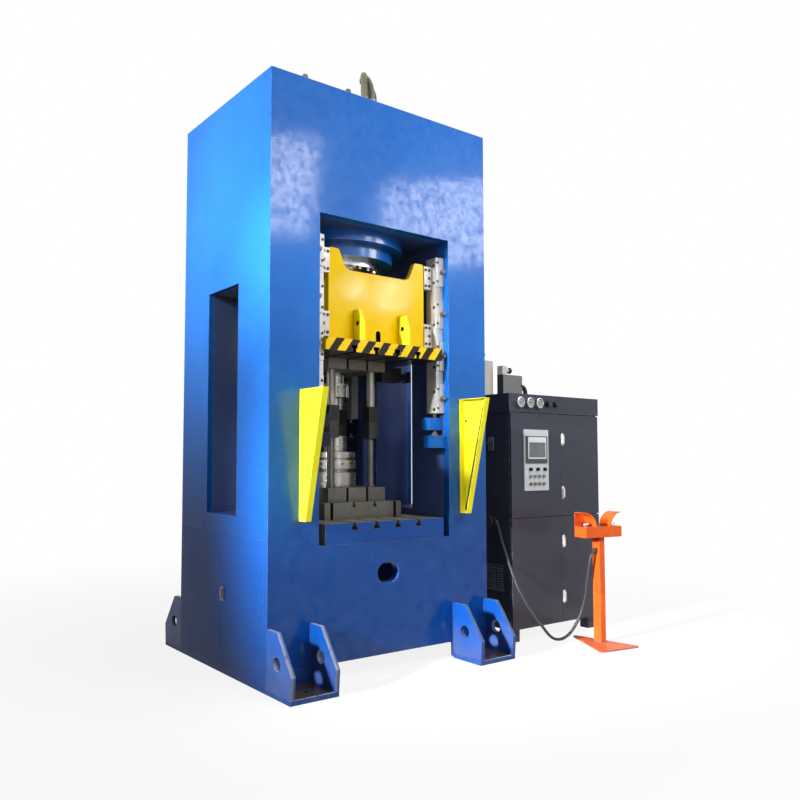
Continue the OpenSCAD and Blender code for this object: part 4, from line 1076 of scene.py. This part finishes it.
class PRESS_OT_panel(PressPiece):
    """Operator panel with its screen, bezels, buttons and lamps"""

    bl_idname = "press.panel"
    bl_label = "Operator panel"

    def execute(self, context):
        look = colours()
        dress(painted("panel_satin", look.panel_grey, srgb(150, 150, 150), 0.4, peel=0.3, dust=0.05),
              "operator_panel")
        for name, tone, rough, coat, *parts in (
                ("screen_bezel", (58, 60, 64), 0.4, 0.0, "screen_unit"),
                ("selector_black", (28, 28, 30), 0.35, 0.0, "selector_a", "selector_b", "selector_c",
                 "knob_a", "knob_b"),
                ("lamp_green", (108, 124, 116), 0.2, 0.4, "lamps"),
                ("button_red", (150, 52, 50), 0.25, 0.3, "button_red"),
                ("button_green", (50, 104, 84), 0.25, 0.3, "button_green"),
                ("button_grey", (104, 106, 108), 0.3, 0.3, "button_a", "button_b")):
            dress(moulded(name, srgb(*tone), rough, coat=coat), *parts)
        steel = machined("bezel_steel", look.chrome, EVEN_GRAIN, 0.25, oil_and_shade=0.1)
        white = moulded("screen_frame", srgb(226, 228, 228), 0.4)
        glass, tree, shader = start("screen_glass")
        # Painted sheen: lighter patches of reflection in the dark glass's colour.
        painted_sheen = ramp(tree, noise(tree, 3.0, 2.0), 0.3, 0.7)
        fill_shader(tree, shader, mix(tree, painted_sheen, look.screen_grey, srgb(108, 116, 124)),
                    ramp(tree, noise(tree, 30.0), 0.3, 0.7, 0.08, 0.14))
        screen = Shape()
        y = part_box("screen_unit")[0].y
        x0, x1, z0, z1 = 1.422, 1.637, 1.425, 1.598
        g0, g1, h0, h1 = 1.433, 1.626, 1.436, 1.556
        for left, low, right, high in ((x0, z0, g0, z1), (g1, z0, x1, z1),
                                       (g0, z0, g1, h0), (g0, h1, g1, z1)):
            screen.block((left, y - 0.004, low), (right, y, high), 0)
        screen.block((g0, y - 0.0015, h0), (g1, y, h1), 1)
        screen.piece("screen_face", "cabinet_door_ul", [white, glass], "black_plastic", 0.0008)
        bezels = Shape()
        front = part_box("operator_panel")[0].y
        places = [(1.455 + 0.052 * i, z) for i in range(4) for z in (1.286, 1.226)]
        places += [(1.452 + 0.084 * i, 1.342) for i in range(3)]
        r = sizes().bezel
        for x, z in places:
            bezels.lathe((x, front, z), FRONT, [
                (r, 0), (r, 0.002), (r * 0.92, 0.0042), (BUTTON_HOLE, 0.0044), (BUTTON_HOLE, 0)], 36)
        for x in (1.397, 1.669):
            for z in (1.181, 1.650):
                bezels.lathe((x, front, z), FRONT, [
                    (0.004, 0), (0.004, 0.0015), (0.0025, 0.0028), (0, 0.003)], 16)
        bezels.piece("panel_bezels", "cabinet_door_ul", [steel], "chrome")
        return {"FINISHED"}


def spoke(degrees):
    """Directions along and across a mark on a dial."""
    a = math.radians(degrees)
    return Vector((math.sin(a), 0, math.cos(a))), Vector((math.cos(a), 0, -math.sin(a)))


class PRESS_OT_gauges(PressPiece):
    """Pressure gauges with bezel, dial, marks and pointer"""

    bl_idname = "press.gauges"
    bl_label = "Gauges"

    def execute(self, context):
        look = colours()
        case = machined("gauge_case", look.chrome, EVEN_GRAIN, 0.18, oil_and_shade=0.1)
        dress(case, "gauges")
        dial = moulded("dial_white", srgb(168, 169, 170), 0.5)
        ink = moulded("dial_black", srgb(20, 20, 20), 0.5)
        lip = sizes().gauge_lip
        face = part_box("gauges")[0].y
        faces = Shape()
        for i, lean in enumerate((-120, -96, -128)):
            centre = Vector((1.336 + 0.112 * i, face, 1.872))
            faces.lathe(centre, FRONT, [
                (0.038, 0), (0.041, 0.0015), (0.041, lip * 0.7), (0.038, lip), (0.0335, lip),
                (DIAL_RADIUS, lip * 0.5), (DIAL_RADIUS, 0)], 48, 0)
            faces.lathe(centre, FRONT, [(DIAL_RADIUS, 0.001), (0, 0.001)], 48, 1)
            for k in range(31):
                out, across = spoke(-135 + 9 * k)
                inner, wide = (0.023, 0.0012) if k % 5 == 0 else (0.027, 0.0005)
                faces.prism([(-wide, inner), (wide, inner), (wide, 0.0305), (-wide, 0.0305)],
                            centre + Vector((0, -0.001, 0)), across, out, (0, -0.0004, 0), 2)
            out, across = spoke(lean)
            faces.prism([(-0.0024, -0.010), (0.0024, -0.010), (0.0008, 0.026), (-0.0008, 0.026)],
                        centre + Vector((0, -0.002, 0)), across, out, (0, -0.0006, 0), 2)
            faces.lathe(centre + Vector((0, -0.001, 0)), FRONT,
                        [(0.005, 0), (0.005, 0.002), (0, 0.003)], 16, 2)
        faces.piece("gauge_dials", "frame", [case, dial, ink], "chrome", angle=40)
        return {"FINISHED"}


class PRESS_OT_station(PressPiece):
    """Orange two-hand station with its chromed palm buttons"""

    bl_idname = "press.station"
    bl_label = "Two-hand station"

    def execute(self, context):
        look = colours()
        dress(painted("station_gloss", look.station_orange, srgb(150, 130, 118), 0.3, wear_and_highlight=0.4, dust=0.6,
                      reach=0.06), "station")
        plate = machined("palm_chrome", look.chrome, EVEN_GRAIN, 0.14, oil_and_shade=0.1, depth=0.1)
        for name in ("palm_left", "palm_right"):
            low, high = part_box(name)
            middle = (low + high) / 2
            cap = Shape()
            cap.lathe((middle.x, middle.y, low.z), UP, [
                (0, 0), (0.014, 0), (0.014, 0.052), (0.027, 0.052), (0.031, 0.055), (0.031, 0.063),
                (0.029, 0.069), (0.023, 0.073), (0.012, 0.0748), (0, 0.075)], 40)
            cap = cap.piece("cap_" + name, name, [plate], "chrome", angle=50)
            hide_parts(name)
        return {"FINISHED"}


class PRESS_PT_sidebar(bpy.types.Panel):
    """Lists the steps that dress the press"""

    bl_idname = "PRESS_PT_sidebar"
    bl_label = "Forging press"
    bl_space_type = "VIEW_3D"
    bl_region_type = "UI"
    bl_category = "Press"

    def draw(self, context):
        for step in STEPS:
            self.layout.operator(step.bl_idname)


EFFECTS = (make_paint_film, make_edge_wear_and_highlight, make_floor_dust, make_corner_oil_and_shade, make_steel_grain,
           make_hose_braid)
SETTINGS = {"press_colours": PressColours, "press_sizes": PressSizes, "press_stage": PressStage}
STEPS = (PRESS_OT_stage, PRESS_OT_cord, PRESS_OT_frame, PRESS_OT_ram, PRESS_OT_guides, PRESS_OT_tooling,
         PRESS_OT_guards, PRESS_OT_crown, PRESS_OT_cabinet, PRESS_OT_panel, PRESS_OT_gauges,
         PRESS_OT_station)
CLASSES = (*SETTINGS.values(), *STEPS, PRESS_PT_sidebar)


def register():
    for made in CLASSES:
        bpy.utils.register_class(made)
    for name, kind in SETTINGS.items():
        setattr(bpy.types.Scene, name, PointerProperty(type=kind))


def unregister():
    for name in SETTINGS:
        delattr(bpy.types.Scene, name)
    for made in reversed(CLASSES):
        bpy.utils.unregister_class(made)


def main():
    register()
    for make in EFFECTS:
        make()
    for step in STEPS:
        name = step.bl_idname.split(".")[1]
        if getattr(bpy.ops.press, name)() != {"FINISHED"}:
            raise RuntimeError(f"{step.bl_label} was not finished")


if __name__ == "__main__":
    main()
